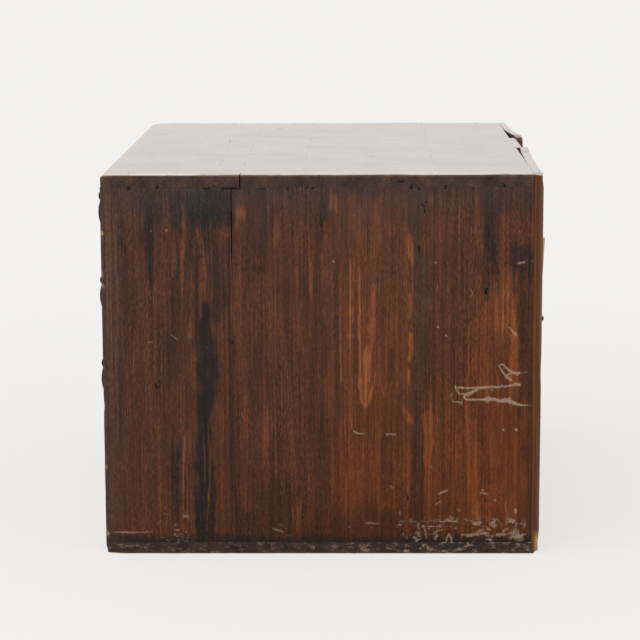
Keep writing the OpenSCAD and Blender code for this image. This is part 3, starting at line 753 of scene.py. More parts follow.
RIGHT_SCRATCHES = (
    (0.95, (282, 137, 1.4), (284.5, 136.5, 0.8), (292.5, 136.5, 0.9), (297.5, 136.5, 1.2), (302, 136.5, 1.2),
     (307, 137, 1.4), (311, 137.5, 1), (315, 137, 0.9), (319.5, 138, 1)),
    (0.95, (321, 137.5, 0.8), (325.5, 138.5, 0.8), (329.5, 139.5, 1.5), (333.5, 139, 1)),
    (0.8, (310, 135.5, 0.5), (312, 134.5, 0.5)),
    (0.9, (300, 136, 1.2), (296.5, 133.5, 1.4), (292.5, 132, 1.9), (290, 130.5, 1.2), (289, 129, 1)),
    (1, (289, 129, 1), (290.5, 127, 1), (295, 127, 1), (304.5, 127, 0.9), (307, 127, 2.3), (310, 127.5, 1.9),
     (315.5, 126.5, 1.2), (320.5, 126, 1.8), (325, 126, 2.5), (328, 124.5, 2.2), (333.5, 123, 1.2),
     (335.5, 122.5, 0.9)),
    (0.75, (335.5, 122.5, 0.8), (340, 122.5, 0.6)),
    (0.4, (340, 122.5, 0.5), (346, 121.5, 0.4), (350.5, 120.5, 0.4)),
    (0.75, (282, 137, 0.8), (282.5, 135, 0.6), (284.5, 133, 0.7), (285.5, 131.5, 0.8), (289, 131.5, 0.7)),
    (0.4, (281, 134, 0.5), (279, 131.5, 0.6), (278, 129.5, 0.6), (279, 127, 0.6), (281, 125.5, 0.7)),
    (0.75, (281, 125.5, 0.8), (284, 125, 1), (287, 124, 0.9), (287, 126, 0.6)),
    (0.75, (316.5, 154.5, 1), (318.5, 155.5, 0.8), (320.5, 155.5, 0.8)),
    (0.9, (317, 154, 0.6), (318.5, 151, 0.6), (321.5, 147.5, 0.9), (323.5, 145.5, 1.8), (325.5, 143.5, 1.5),
     (327, 142, 0.9)),
    (0.9, (320.5, 155, 0.6), (322.5, 153, 0.7), (325.5, 150.5, 1.2), (328.5, 148.5, 1.6), (331, 148, 1.6),
     (333.5, 149, 0.8)),
    (0.6, (333.5, 149, 0.4), (339, 149, 0.3)), (0.75, (325.5, 148.5, 1), (323.5, 146.5, 1.2)),
    (0.8, (331.5, 237, 0.9), (335, 237.5, 0.8), (337, 238.5, 0.6)),
    (0.45, (342.5, 238.5, 0.4), (347.5, 238.5, 0.4)), (0.8, (325, 185.5, 0.8), (330, 179.5, 1.2)),
    (0.7, (200, 101.5, 0.6), (204, 99.5, 0.9), (209.5, 99, 0.5)), (0.6, (226.5, 99, 0.6), (234, 98.5, 0.8)),
    (0.75, (269, 49.5, 0.8), (272.5, 51, 1.2), (276, 52.5, 0.8)), (0.6, (267.5, 41.5, 0.8), (270, 43, 0.9)),
    (0.6, (302.5, 50.5, 0.8), (307.5, 50, 1.2)), (0.35, (210.5, 25.5, 1.2), (220.5, 25, 0.9)),
    (0.6, (135.5, 20.5, 0.6), (139.5, 19, 0.9), (143.5, 18, 0.5)),
    (0.6, (6, 18, 0.5), (20, 17.5, 0.8), (37.5, 18, 0.4)),
    (0.55, (54, 180.5, 0.4), (59.5, 176.5, 0.5)), (0.4, (35, 174, 0.4), (40.5, 173.5, 0.4)),
    (1, (331, 102.5, 1.1), (331.5, 101.5, 1.1)), (0.35, (230.5, 55.5, 1.3), (232, 55, 1.3)),
    (0.4, (293, 217, 0.5), (295.5, 213.5, 0.5), (294, 210.5, 0.4)),
    (0.35, (267.5, 220, 0.4), (266.5, 214.5, 0.4)), (0.35, (237, 27, 0.4), (250.5, 27, 0.5)),
    (0.4, (255.5, 27, 0.4), (270, 27, 0.5)), (0.75, (270, 27, 0.6), (285, 27, 0.7)),
    (0.4, (264.5, 28.5, 0.4), (270.5, 28.5, 0.4)), (0.45, (259.5, 22.5, 0.5), (270.5, 22.5, 0.4)),
    (0.5, (278, 31, 1), (280.5, 29.5, 1.4), (278.5, 28.5, 0.8)),
    (0.6, (256.5, 23, 1.4), (258, 20.5, 0.8), (259, 13, 0.6)),
    (0.6, (264.5, 16.5, 0.7), (268.5, 19, 0.8), (272.5, 20, 0.6)),
    (0.6, (249, 14, 1.1), (251, 11.5, 1.9), (251.5, 8.5, 1)), (0.6, (243, 15, 0.6), (243.5, 13, 1)),
    (0.5, (240, 16.5, 1.1), (240.5, 16, 0.8)), (0.5, (238, 34, 1), (238, 32, 0.7)),
    (0.5, (246.5, 29, 0.5), (247, 25.5, 0.6)),
    (0.65, (275, 9, 0.6), (276, 14, 1.1), (277.5, 16, 1.3), (279, 13, 1), (280, 9.5, 0.7)),
    (0.5, (266, 14.5, 0.7), (267, 12, 1.1)),
    (0.7, (287.5, 16, 0.7), (291.5, 15, 1.4), (297, 15.5, 1.6), (302, 16.5, 1.8), (306.5, 17.5, 1.2),
     (310, 17, 0.7)),
    (0.6, (300.5, 17.5, 0.6), (303.5, 19.5, 1.4), (306, 20, 0.7)), (0.7, (308, 21, 0.8), (310.5, 20, 1.2)),
    (0.75, (314, 29, 0.6), (314.5, 27, 0.8), (313, 24.5, 3), (314.5, 23.5, 2.1)),
    (0.45, (316.5, 28.5, 0.5), (320, 24, 0.5), (319.5, 20.5, 0.5)),
    (0.7, (316, 15.5, 1.3), (318.5, 15.5, 1.9), (322, 16, 1.4)),
    (0.55, (326.5, 17, 1.6), (330, 17.5, 4.2), (333, 16, 2.7)),
    (0.35, (332.5, 12.5, 3.2), (336.5, 11.5, 2.1)),
    (0.8, (331, 37, 0.8), (331.5, 35, 1.4), (331.5, 34, 0.7)),
    (0.5, (326.5, 27.5, 0.7), (329.5, 27.5, 1.1), (328.5, 25.5, 0.6)),
    (0.5, (332, 25.5, 0.5), (331, 23, 0.6)),
    (0.4, (323, 43.5, 0.4), (323.5, 34, 0.4)), (0.45, (325.5, 34, 0.5), (324, 28, 0.5), (324, 24.5, 0.7)),
    (0.4, (285, 36.5, 1.4), (286.5, 35.5, 0.8)), (0.4, (266.5, 41, 0.4), (270, 43.5, 0.5)),
    *spots(0.9, (266, 237.5, 1.1), (268, 186, 1.2), (185, 239, 1.1)),
    *spots(0.8, (274.5, 179, 1), (320.5, 102, 1), (314.5, 44.5, 1.1), (52.5, 264, 1.2)),
    *spots(0.55, (304.5, 53, 1.3), (40.5, 263.5, 0.8), (263, 72, 1), (82.5, 7, 0.8)),
)
RIGHT_PITS = (
    (1, (22.5, 297, 1.1), (24.5, 297, 1.2)), (1, (44.5, 297, 1.1), (46.5, 298, 1.3)),
    (1, (81.5, 297, 0.6), (86.5, 297, 0.8)), (1, (96.5, 297, 0.6), (111, 297, 0.7)),
    (0.9, (123.5, 296.5, 0.5), (131.5, 297, 0.6)), (0.9, (163, 297, 0.6), (164.5, 297.5, 0.6)),
    (0.9, (168, 297.5, 0.8), (169.5, 297, 0.6)), (1, (245.5, 297.5, 1.2), (247, 297, 1.1)),
    (1, (272.5, 297.5, 1.1), (273.5, 296.5, 1.2)), (0.9, (319.5, 298.5, 1.1), (320.5, 298.5, 1.1)),
    (0.9, (252, 297, 0.9), (253, 296, 0.9)), (0.8, (254.5, 285, 0.8), (257, 282.5, 0.8)),
    (0.8, (257, 280, 0.8), (257.5, 277.5, 0.6)), (0.8, (257.5, 287, 0.6), (258.5, 285, 0.8)),
    (1, (252.5, 251.5, 0.7), (252.5, 245.5, 0.8)),
    (0.9, (175.5, 271.5, 0.5), (176, 262.5, 0.6), (175.5, 256, 0.4)),
    (1, (306.5, 217, 0.6), (306, 214, 1.4), (305.5, 212.5, 0.9)), (0.9, (103.5, 175, 0.6), (104, 173.5, 1.1)),
    (0.8, (41.5, 140, 0.9), (43, 136.5, 1.1), (45.5, 137.5, 0.8)), (0.9, (244, 48, 0.8), (244, 44.5, 0.9)),
    (0.8, (179, 110.5, 0.5), (179.5, 107, 0.6)), (0.7, (55.5, 81, 0.4), (62, 81.5, 0.4)),
    (0.9, (237.5, 9.5, 0.6), (244.5, 9.5, 0.6)), (0.85, (252, 9.5, 0.6), (270, 9, 0.6)),
    (1, (283.5, 9, 0.7), (296.5, 9.5, 0.6)), (1, (311, 9.5, 0.8), (318, 9, 1.1), (324.5, 10, 0.6)),
    *spots(1, (149, 297, 1.1), (56.5, 63.5, 1.5), (281, 9, 1.6)), *spots(0.9, (274.5, 8.5, 1)),
    *spots(0.8, (106.5, 165.5, 0.7), (20.5, 9.5, 1.2), (116, 9.5, 1.2), (186, 9.5, 1.1), (209.5, 10, 1.1)),
)
RIGHT_SCUFFS = (
    (238, 340, 8, 27, 1.3), (300, 336, 22, 34, 0.9), (44, 70, 9, 34, 0.7), (136, 150, 12, 24, 0.5),
    (196, 216, 20, 30, 0.6),
)


def cracks(turn, taper, *places):
    """The opened seams of a side; each has its seam, its closed tip, its other end and a width."""
    def opening(at):
        from_front = at.y + HALF_DEPTH
        ragged = 0.8 + 0.5 * noise.noise(Vector((turn, from_front, at.z * 0.11)))
        for seam, tip, end, width in places:
            if abs(from_front - seam) < 2 and min(tip, end) < at.z < max(tip, end):
                return width * ragged * min(1.0, abs(at.z - tip) / taper)
        return 0.0
    return opening


SIDE_JOINTS = ((0, 0, 20), (0, 20, 20))
RIGHT_PITHS = ((-30, 180, -0.01), (-95, 196, 0.012), (40, 217, -0.013), (150, 190, 0.008))
RIGHT_CHIPS = (((248, -175, 261.5), 2.4, (-0.4, 0.6, 0), 0.8), ((248, -175, 229), 2.2, (-0.2, 0.3, 0), 0.5),
               ((248, -175, 220), 2.4, (-0.2, 0.3, 0), 0.5), ((248, -175, 120), 6, (-0.5, 0.8, 0), 0.0),
               ((248, -174.6, 72), 2.0, (-0.2, 0.3, 0), 0.4), ((248, -174.6, 17), 2.6, (-0.4, 0.6, 0), 0.6))
right_wood = side_wood("right_side_wood", 238)
right_patches = {"soot_and_shade": RIGHT_SOOT_AND_SHADE, "olive": RIGHT_OLIVE, "rubbed": RIGHT_RUBBED, "grime": RIGHT_SCUFFS}
right_stains = paint_side(0.0, (1, 0, 0), {"scratch": RIGHT_SCRATCHES, "pit": RIGHT_PITS}, right_patches,
                          {"rubbed": RIGHT_STREAKS, "soot_and_shade": RIGHT_SHADOWS, "olive": RIGHT_DRIPS})
right_cracks = cracks(0.3, 40, (104, 222, 299, 1.2), (175, 252, 276, 0.8), (253, 243, 251, 0.7))
worn_boards("right_side", "right_side_boards", [right_wood], (2, 1, 0), ease=0.8 * MM, step=8 * MM, seed=23,
            opening=right_cracks, piths=RIGHT_PITHS, chips=RIGHT_CHIPS, mark=right_stains,
            joined=SIDE_JOINTS, fine=(0, HALF_WIDTH * MM, {1: 1.0 * MM, 2: 2.6 * MM}))

# Left side
# The same four upright boards on the other side of the case, stained in bands of its own.
# It is taken to have stood against a wall, with fewer scratches and a paler foot.

# Dark patches as on the right side. The row from 292 to 299, just under the top, is painted shade; the row
# from 1 to 14 darkens the foot, and the others are dark stain.
LEFT_SOOT_AND_SHADE = (
    (0, 350, 292, 299, LIGHT), (20, 34, 150, 296, LIGHT), (60, 74, 90, 296, HALF), (118, 128, 5, 180, LIGHT),
    (186, 200, 170, 296, LIGHT), (240, 252, 5, 140, HALF), (300, 318, 200, 298, HALF),
    (0, 346, 1, 14, STRONG),
)
LEFT_OLIVE = ((140, 158, 210, 298, HALF), (276, 290, 60, 150, LIGHT))
LEFT_RUBBED = (
    (8, 18, 60, 240, FAINT), (84, 104, 120, 280, FAINT), (130, 140, 40, 190, LIGHT),
    (160, 178, 60, 260, FAINT), (208, 232, 90, 280, LIGHT), (258, 270, 150, 270, FAINT),
    (322, 338, 40, 180, LIGHT),
)
LEFT_STREAKS = (
    (HALF, (40, 262, 0.5), (41, 240, 1.5), (40, 205, 1.5), (39, 190, 0.5)),
    (HALF, (168, 210, 0.5), (166, 170, 3), (164, 130, 4), (166, 100, 2), (170, 92, 0.5)),
    (LIGHT, (216, 280, 0.5), (218, 240, 2), (217, 190, 1.5), (216, 150, 0.5)),
    (HALF, (274, 130, 0.5), (275, 100, 2), (276, 60, 1.5), (275, 40, 0.5)),
)
LEFT_SCRATCHES = (
    (0.8, (60, 190, 0.7), (82, 181, 1.3), (96, 176, 0.8), (104, 181, 0.6)),
    (0.7, (210, 60, 0.6), (236, 64, 1.2), (262, 66, 0.8)),
    (0.6, (240, 72, 0.7), (244, 52, 0.8)), (0.5, (30, 26, 0.5), (60, 24, 0.8), (88, 24, 0.5)),
    (0.6, (280, 30, 0.6), (300, 33, 1.0), (318, 33, 0.6)), (0.8, (150, 232, 0.8), (153, 229, 1.0)),
)
LEFT_PITS = (
    (1, (30, 297, 0.5), (34, 297, 0.6)), (0.9, (140, 297, 0.4), (152, 297, 0.5)),
    (0.9, (170, 10, 0.5), (178, 10, 0.6)), (1, (128, 160, 0.7), (128.5, 163, 0.9)),
    (1, (290, 232, 0.8), (290, 235, 1)),
    *spots(1, (74.5, 297, 1.1), (226.5, 297, 1.1), (60.5, 10, 1.1), (250.5, 10, 1.1)),
)
LEFT_SCUFFS = ((10, 120, 8, 26, 1.1), (180, 250, 8, 22, 0.9), (290, 336, 8, 34, 1.0))
LEFT_PITHS = ((-190, -300, 0.012), (-20, -286, -0.014), (30, -330, 0.01), (120, -282, -0.016))
LEFT_CHIPS = (((-248, -175, 180), 4, (0.6, 0.8, 0), 0.6), ((-248, -175, 60), 3, (0.5, 0.7, 0), 0.6))
left_wood = side_wood("left_side_wood", -238)
left_patches = {"soot_and_shade": LEFT_SOOT_AND_SHADE, "olive": LEFT_OLIVE, "rubbed": LEFT_RUBBED, "grime": LEFT_SCUFFS}
left_stains = paint_side(21.0, (-1, 0, 0), {"scratch": LEFT_SCRATCHES, "pit": LEFT_PITS}, left_patches,
                         {"rubbed": LEFT_STREAKS})
left_cracks = cracks(5.3, 60, (175, 190, 299, 0.9), (253, 60, 9, 0.7))
worn_boards("left_side", "left_side_boards", [left_wood], (2, 1, 0), ease=0.8 * MM, step=10 * MM, seed=37,
            opening=left_cracks, piths=LEFT_PITHS, chips=LEFT_CHIPS, mark=left_stains, joined=SIDE_JOINTS,
            fine=(0, -HALF_WIDTH * MM, {1: 1.4 * MM, 2: 4.5 * MM}))

# Shelves and dividers
# Full-depth boards housed in the sides carry the drawers, and an upright board parts each pair of them.
# Only their front edges are stained; the rest is dusty bare wood.


def inner_wood(name, grain):
    timber = Timber(name, grain, 3.2, 0.15)
    front = timber.step(timber.about(timber.cloud((0.05, 0.3, 0.3), 3.0), 16.0, timber.at[1]), -156.0, -168.0)
    tone = timber.grain_tone(Streak=0.6, Line=0.3, Blotch=0.4, Fibre=0.35)
    dust = timber.step(timber.figure["Blotch"], 0.4, 0.7, 0.0, 0.5)
    dusty = timber.mix(dust, timber.bare(), (0.13, 0.095, 0.066))
    return timber.finish(timber.mix(front, dusty, timber.stained(tone)), (0.5, 0.7))


shelf_wood = inner_wood("shelf_wood", "XYZ")
divider_wood = inner_wood("divider_wood", "YZX")
for count, row in enumerate(("upper", "middle", "lower")):
    worn_boards(row + "_shelf_board", row + "_shelf", [shelf_wood], (0, 1, 2), ease=0.7 * MM, step=24 * MM,
                seed=41 + count)
    worn_boards(row + "_divider_board", row + "_divider", [divider_wood], (1, 2, 0), ease=0.7 * MM,
                step=24 * MM, seed=51 + count)

# Top of the case
# Four boards that run the width of the chest over both sides and are pegged down to them.
# Handling has polished the top to a dull shine; the sawn ends have soaked up stain and are wormed.

FIRST_TOP_SEAM = 111


def top_wood():
    timber = Timber("top_wood", "XYZ", 3.4, 0.5)
    colour = timber.stained(timber.grain_tone(Streak=0.4, Blotch=0.6, Mottle=0.2))
    hazy = timber.step(timber.cloud((0.03, 0.018, 0.018), 3.0, 0.5), 0.32, 0.70, 0.35, 0.95)
    colour = timber.mix(hazy, colour, (0.30, 0.135, 0.082))
    # Near both ends of the top, a cream line that is partly wear and partly a painted highlight where the
    # edge rounds over.
    rim_wear_and_highlight = timber.sum("MULTIPLY", timber.step(timber.sum("ABSOLUTE", timber.at[0]), 226.0, 247.0),
                     timber.step(timber.cloud((0.05, 0.02, 0.05), 4.0, 0.65), 0.40, 0.60))
    colour = timber.mix(rim_wear_and_highlight, colour, (0.62, 0.44, 0.29))
    dents = timber.value("pit")
    colour = timber.mix(dents, colour, (0.03, 0.017, 0.012))
    worn_off = timber.sum("SUBTRACT", 1.0, dents, clamp=True)
    timber.tree.links.new(worn_off, timber.shader.inputs["Coat Weight"])
    timber.shader.inputs["Coat Roughness"].default_value = 0.20
    timber.shader.inputs["Coat IOR"].default_value = 1.5
    return timber.finish(colour, (0.24, 0.32), 0.03 * MM, "Blotch")


def top_end_wood():
    timber = Timber("top_end_wood", "XYZ", 2.6, 0.15)
    tone = timber.grain_tone(Streak=0.4, Blotch=0.4, Mottle=1.0, Fibre=0.5, Grit=0.8)
    colour = timber.stained(tone)
    worm = timber.step(timber.cloud((0.3, 0.30, 0.42), 3.0, 0.6), 0.66, 0.72)
    colour = timber.mix(timber.sum("MULTIPLY", worm, 0.8), colour, (0.006, 0.004, 0.003))
    colour = timber.mix(timber.value("pit"), colour, (0.004, 0.003, 0.003))
    height = timber.at[2]
    # Along the top edge of the ends, a lighter line that is partly wear and partly a painted highlight where
    # the edge rounds over.
    rubbed = timber.step(timber.figure["Mottle"], 0.35, 0.6, 0.2, 0.7)
    edge = timber.sum("MULTIPLY", timber.step(height, 305.6, 307.2), rubbed)
    colour = timber.mix(edge, colour, (0.155, 0.100, 0.062))
    underside = timber.step(height, 299.4, 298.6)
    inner = timber.step(timber.sum("ABSOLUTE", timber.at[0]), 239.0, 236.0)
    colour = timber.mix(timber.sum("MULTIPLY", underside, inner), colour, timber.bare())
    return timber.finish(colour, (0.5, 0.7))


TOP_DOTS = (
    (1, (90, 40, 0.7), (90, 44, 0.7)), (1, (90, 90, 0.6), (89, 96, 0.6)), (1, (91, 130, 0.6), (91, 139, 0.6)),
    (1, (91, 160, 0.6), (91, 172, 0.5)), (0.8, (88, -60, 0.6), (88, -40, 0.6)),
    (1, (22, 228, 2), (26, 229, 1.6)), (0.8, (24, 70, 1.6), (27, 71, 1.4)),
    (0.8, (20, -130, 1.8), (24, -128, 1.6)), (0.8, (128, -180, 2), (131, -178, 2)),
    (0.8, (214, 96, 2.2), (217, 99, 1.8)), (0.8, (300, -60, 1), (306, -66, 1)),
)
TOP_END_PITS = (
    (1, (97, 298, 0.5), (111, 298, 0.5)), (1, (22, 298.5, 0.8), (23.5, 298.5, 0.9)),
    (1, (44.5, 298.5, 0.8), (46, 299, 0.9)), (1, (246, 298.5, 1), (246.5, 299, 1.1)),
    (0.9, (236, 302, 0.7), (240, 302.5, 0.8)), (1, (319.5, 299, 1), (320.5, 299, 1)),
    (1, (273, 298.5, 0.9), (274, 299, 1)), (0.9, (164, 298.5, 0.6), (165, 298.5, 0.7)),
    (0.8, (230, 303.5, 0.7), (231, 304, 0.7)), (0.8, (112, 302, 0.5), (112.5, 305, 0.5)),
    *spots(1, (27.5, 301, 0.9), (70.5, 298.5, 0.8), (91, 299, 0.9)), *spots(0.8, (330, 300, 0.8)),
)


def top_opening(at):
    """Width of the hairline along a seam of the top, open wider at the right-hand end of the first one."""
    from_front = at.y + HALF_DEPTH
    hairline = max(0.0, 0.42 * noise.noise(Vector((at.x * 0.06, from_front, 2.0))))
    if abs(from_front - FIRST_TOP_SEAM) < 2 and at.x > 228:
        hairline += 0.9 * (at.x - 228) / 20
    return hairline


def polished_face(sheet):
    """The upper faces take the polish and the rest stays dull."""
    sheet.normal_update()
    for face in sheet.faces:
        face.material_index = 0 if face.normal.z > 0.55 else 1


def round_nose(sheet, radius):
    """Rounds the front edge of the top, which hands have worn the most."""
    for vertex in sheet.verts:
        out = radius - HALF_DEPTH - vertex.co.y / MM
        up = radius - HEIGHT + vertex.co.z / MM
        length = math.hypot(out, up)
        if out > 0 and up > 0 and length > radius:
            vertex.co.y -= out * (radius / length - 1) * MM
            vertex.co.z += up * (radius / length - 1) * MM


def marked_top(sheet):
    """Dots along an old line and small pits on the top and on its right-hand ends, under the polish."""
    round_nose(sheet, 3.6)
    paint_lines(sheet, (0, 0, 1), (1, HALF_DEPTH), (0, 0), pit=TOP_DOTS)
    paint_lines(sheet, (1, 0, 0), (1, HALF_DEPTH), (2, 0), pit=TOP_END_PITS)
    polished_face(sheet)


top_polish = top_wood()
top_ends = top_end_wood()
TOP_CHIPS = (((248, -175, 300), 4, (-0.5, 0.6, 0), 0.0), ((-248, -175, 308), 8, (1.2, 1.4, -1.2), 0.0))
worn_boards("top", "top_boards", [top_polish, top_ends], (0, 1, 2), ease=1.2 * MM, step=9 * MM, seed=61,
            opening=top_opening, chips=TOP_CHIPS, mark=marked_top, joined=((0, 0, 20), (0, 20, 0)))

# Pegs
# Whittled hardwood pegs, driven through the top and the bottom into the edges of the sides.
# Their ends were cut flush and stained with the boards.


def peg_wood(name, coat):
    timber = Timber(name, "ZXY", 1.3, 0.3)
    tone = timber.sum("SUBTRACT", timber.grain_tone(Streak=0.4, Blotch=0.4, Fibre=0.5), 0.06)
    timber.shader.inputs["Coat Weight"].default_value = coat
    timber.shader.inputs["Coat Roughness"].default_value = 0.2
    return timber.finish(timber.stained(tone), (0.35, 0.55))


def field_input(tree, name, kind):
    """A named value that each point carries."""
    made = tree.nodes.new("GeometryNodeInputNamedAttribute")
    made.data_type = kind
    made.inputs["Name"].default_value = name
    return made.outputs["Attribute"]


def fastener_tree(name, material, inputs, shape):
    """A tree that sets one fastener on each point, along the point's aim and turned at random."""
    tree = bpy.data.node_groups.new(name, "GeometryNodeTree")
    tree.interface.new_socket("Places", in_out="INPUT", socket_type="NodeSocketGeometry")
    for label in inputs:
        tree.interface.new_socket(label, in_out="INPUT", socket_type="NodeSocketFloat")
    tree.interface.new_socket("Seed", in_out="INPUT", socket_type="NodeSocketInt")
    tree.interface.new_socket("Fasteners", in_out="OUTPUT", socket_type="NodeSocketGeometry")
    given = tree.nodes.new("NodeGroupInput").outputs
    fastener = shape(tree, given)
    aim = put(tree, "FunctionNodeAlignRotationToVector", {"Vector": field_input(tree, "aim", "FLOAT_VECTOR")},
              axis="Z").outputs[0]
    full_turn = 6.283
    turn = put(tree, "FunctionNodeRandomValue", {3: full_turn, "Seed": given["Seed"]}, data_type="FLOAT")
    angle = [socket for socket in turn.outputs if socket.type == "VALUE" and socket.enabled][0]
    spin = put(tree, "FunctionNodeAxisAngleToRotation", {"Axis": (0, 0, 1), "Angle": angle}).outputs[0]
    aim = put(tree, "FunctionNodeRotateRotation", {0: aim, 1: spin}, rotation_space="LOCAL").outputs[0]
    made = put(tree, "GeometryNodeInstanceOnPoints",
               {"Points": given["Places"], "Instance": fastener, "Rotation": aim}).outputs[0]
    made = put(tree, "GeometryNodeRealizeInstances", {0: made}).outputs[0]
    made = put(tree, "GeometryNodeSetMaterial", {"Geometry": made, "Material": material}).outputs[0]
    put(tree, "NodeGroupOutput", {"Fasteners": made})
    return tree


def set_fasteners(piece, body, slot, tree, sizes, places, *nodes):
    """Runs a tree on points with their aims and keeps the result as a plain mesh on a body."""
    mesh = bpy.data.meshes.new(piece + "_places")
    mesh.from_pydata([place for place, aim in places], [], [])
    aims = mesh.attributes.new("aim", "FLOAT_VECTOR", "POINT")
    for number, (place, aim) in enumerate(places):
        aims.data[number].vector = aim
    made = bpy.data.objects.new(piece, mesh)
    bpy.context.scene.collection.objects.link(made)
    modifier = made.modifiers.new(tree.name, "NODES")
    modifier.node_group = tree
    for item in tree.interface.items_tree:
        if item.in_out == "INPUT" and item.name in sizes:
            modifier[item.identifier] = sizes[item.name]
    evaluated = made.evaluated_get(bpy.context.evaluated_depsgraph_get())
    plain = bpy.data.meshes.new_from_object(evaluated)
    made.modifiers.remove(modifier)
    made.data = plain
    plain.name = piece
    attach(made, body)
    if nodes:
        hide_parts(*nodes)


def sunk_rod(tree, corners, width, length):
    """A rod whose outer end is at the point."""
    radius = sums(tree, "MULTIPLY", width, 0.5)
    rod = put(tree, "GeometryNodeMeshCylinder",
              {"Vertices": corners, "Radius": radius, "Depth": length}).outputs["Mesh"]
    shift = put(tree, "ShaderNodeCombineXYZ", {2: sums(tree, "MULTIPLY", length, -0.5)}).outputs[0]
    return put(tree, "GeometryNodeTransform", {"Geometry": rod, "Translation": shift}).outputs[0]


def peg_shape(tree, given):
    """An eight-sided peg."""
    return sunk_rod(tree, 8, given["Width"], given["Length"])


def node_islands(node):
    """Boxes of the separate solids of a node."""
    sheet = node_copy(node)
    boxes = [board_box(board) for board in islands(sheet)]
    sheet.free()
    return boxes


peg_sunk = 0.1 * MM
peg_sizes = {"Width": 3.96 * MM, "Length": 24 * MM, "Seed": 5}
for level, coat, aim in (("top", 1.0, 1), ("bottom", 0.0, -1)):
    tree = fastener_tree(level + " pegs", peg_wood(level + "_peg_wood", coat), ("Width", "Length"), peg_shape)
    places = []
    for low, high in node_islands(level + "_pegs"):
        middle = (low + high) / 2
        end = (high.z if aim > 0 else low.z) - aim * peg_sunk
        places.append(((middle.x, middle.y, end), (0, 0, aim)))
    set_fasteners(level + "_peg_set", "case", "stained_wood", tree, peg_sizes, places, level + "_pegs")

# Back boards
# Three upright rough-sawn boards, nailed over the rear edges of the case and only thinly stained.
# The two outer ones have sprung away from the case at their free top corners.


BACK_INNER = 168.5
BACK_THICK = 6.5


def back_wood():
    timber = Timber("back_wood", "ZXY", 3.6, 0.15)
    thin = timber.step(timber.figure["Blotch"], 0.3, 0.7, 0.15, 0.50)
    tone = timber.grain_tone(Streak=0.7, Line=0.3, Blotch=0.4, Fibre=0.4)
    colour = timber.mix(thin, timber.stained(tone), timber.bare())
    saw = timber.step(timber.cloud((0.55, 0.012, 0.3), 3.0, 0.6), 0.48, 0.66, 0.0, 0.14)
    colour = timber.mix(saw, colour, (0.045, 0.026, 0.017))
    edge = timber.step(timber.at[0], 247.0, 247.6)
    depth = timber.sum("SUBTRACT", timber.at[1], BACK_INNER)
    across = timber.about(timber.cloud((0.03, 0.2, 0.2), 3.0, 0.6), 1.5, depth)
    # Bands of colour across the board's right-hand end; the pale stop at the outer rim is a painted
    # highlight, and the others are stain.
    layers = timber.ramp(timber.sum("DIVIDE", across, BACK_THICK), (
        (0.08, (0.130, 0.047, 0.019)), (0.28, (0.165, 0.056, 0.016)), (0.42, (0.080, 0.028, 0.010)),
        (0.56, (0.150, 0.050, 0.017)), (0.80, (0.150, 0.060, 0.028)), (0.97, (0.200, 0.110, 0.066))))
    streaks = timber.step(timber.cloud((0.012, 0.6, 0.45), 4.0, 0.65), 0.62, 0.36, 0.0, 0.6)
    layers = timber.mix(streaks, layers, (0.050, 0.027, 0.017))
    colour = timber.mix(edge, colour, layers)
    return timber.finish(colour, (0.55, 0.75), 0.25 * MM)


def skin_rings(sheet, rings):
    """Covers a row of rings and their two ends with faces."""
    faces = [sheet.faces.new(rings[0]), sheet.faces.new(reversed(rings[-1]))]
    for first, second in zip(rings, rings[1:]):
        for corner in range(len(first)):
            after = (corner + 1) % len(first)
            faces.append(sheet.faces.new((first[corner], second[corner], second[after], first[after])))
    bmesh.ops.recalc_face_normals(sheet, faces=faces)


def raise_splinter(sheet, x, y, foot, head, lift):
    """A sliver of the board's rear corner that has split off upwards and is held at its foot."""
    raw = sheet.verts.layers.float["raw"]
    rings = []
    last = 8
    for i in range(last + 1):
        share = i / last
        out = y + lift * share ** 1.4 + 0.15 * noise.noise(Vector((0, 3, i * 0.7)))
        half = 0.3 + 0.9 * share
        z = foot + (head - foot) * share
        ring = []
        for dx, dy in ((-1.5, -half), (0.1, -half), (0.1, half), (-1.5, half)):
            top = 1.2 * noise.noise(Vector((dx, dy, 4))) if i == last else 0.0
            vertex = sheet.verts.new(Vector((x + dx * (0.5 + 0.5 * share), out + dy, z + top)) * MM)
            vertex[raw] = 0.75
            ring.append(vertex)
        rings.append(ring)
    skin_rings(sheet, rings)


def back_board(piece, node, left, right, head, outer, free, spring, seed, chips=(), splinter=None,
               thicker=0.0):
    """A sawn board, worn and then twisted so that its free top corner stands off the case."""
    sheet = new_sheet()
    low = Vector((left, BACK_INNER, 0)) * MM
    high = Vector((right, HALF_DEPTH, head)) * MM
    box = Matrix.Translation((low + high) / 2) @ Matrix.Diagonal((*(high - low), 1.0))
    bmesh.ops.create_cube(sheet, size=1.0, matrix=box)
    cut_lattice(sheet, list(sheet.verts), 0.8 * MM, 9 * MM)
    board = list(sheet.verts)
    figure_boards(sheet, [board], 0, 1, seed)
    wear_edges(sheet, board, (low, high), 0.8 * MM, seed, hollow=0.35 * MM)
    chip_away(sheet, board, chips)
    for vertex in board:
        across = max(0.0, (outer * MM - vertex.co.x) / ((outer - free) * MM))
        vertex.co.y += spring * MM * across ** 3 * (vertex.co.z / high.z)
        if vertex.co.y > high.y - 3 * MM:
            vertex.co.y += thicker * MM * vertex.co.z / high.z
    if splinter:
        raise_splinter(sheet, *splinter)
    polished_face(sheet)
    finish_piece(sheet, piece, [top_polish, back_material], "case", "stained_wood", node)


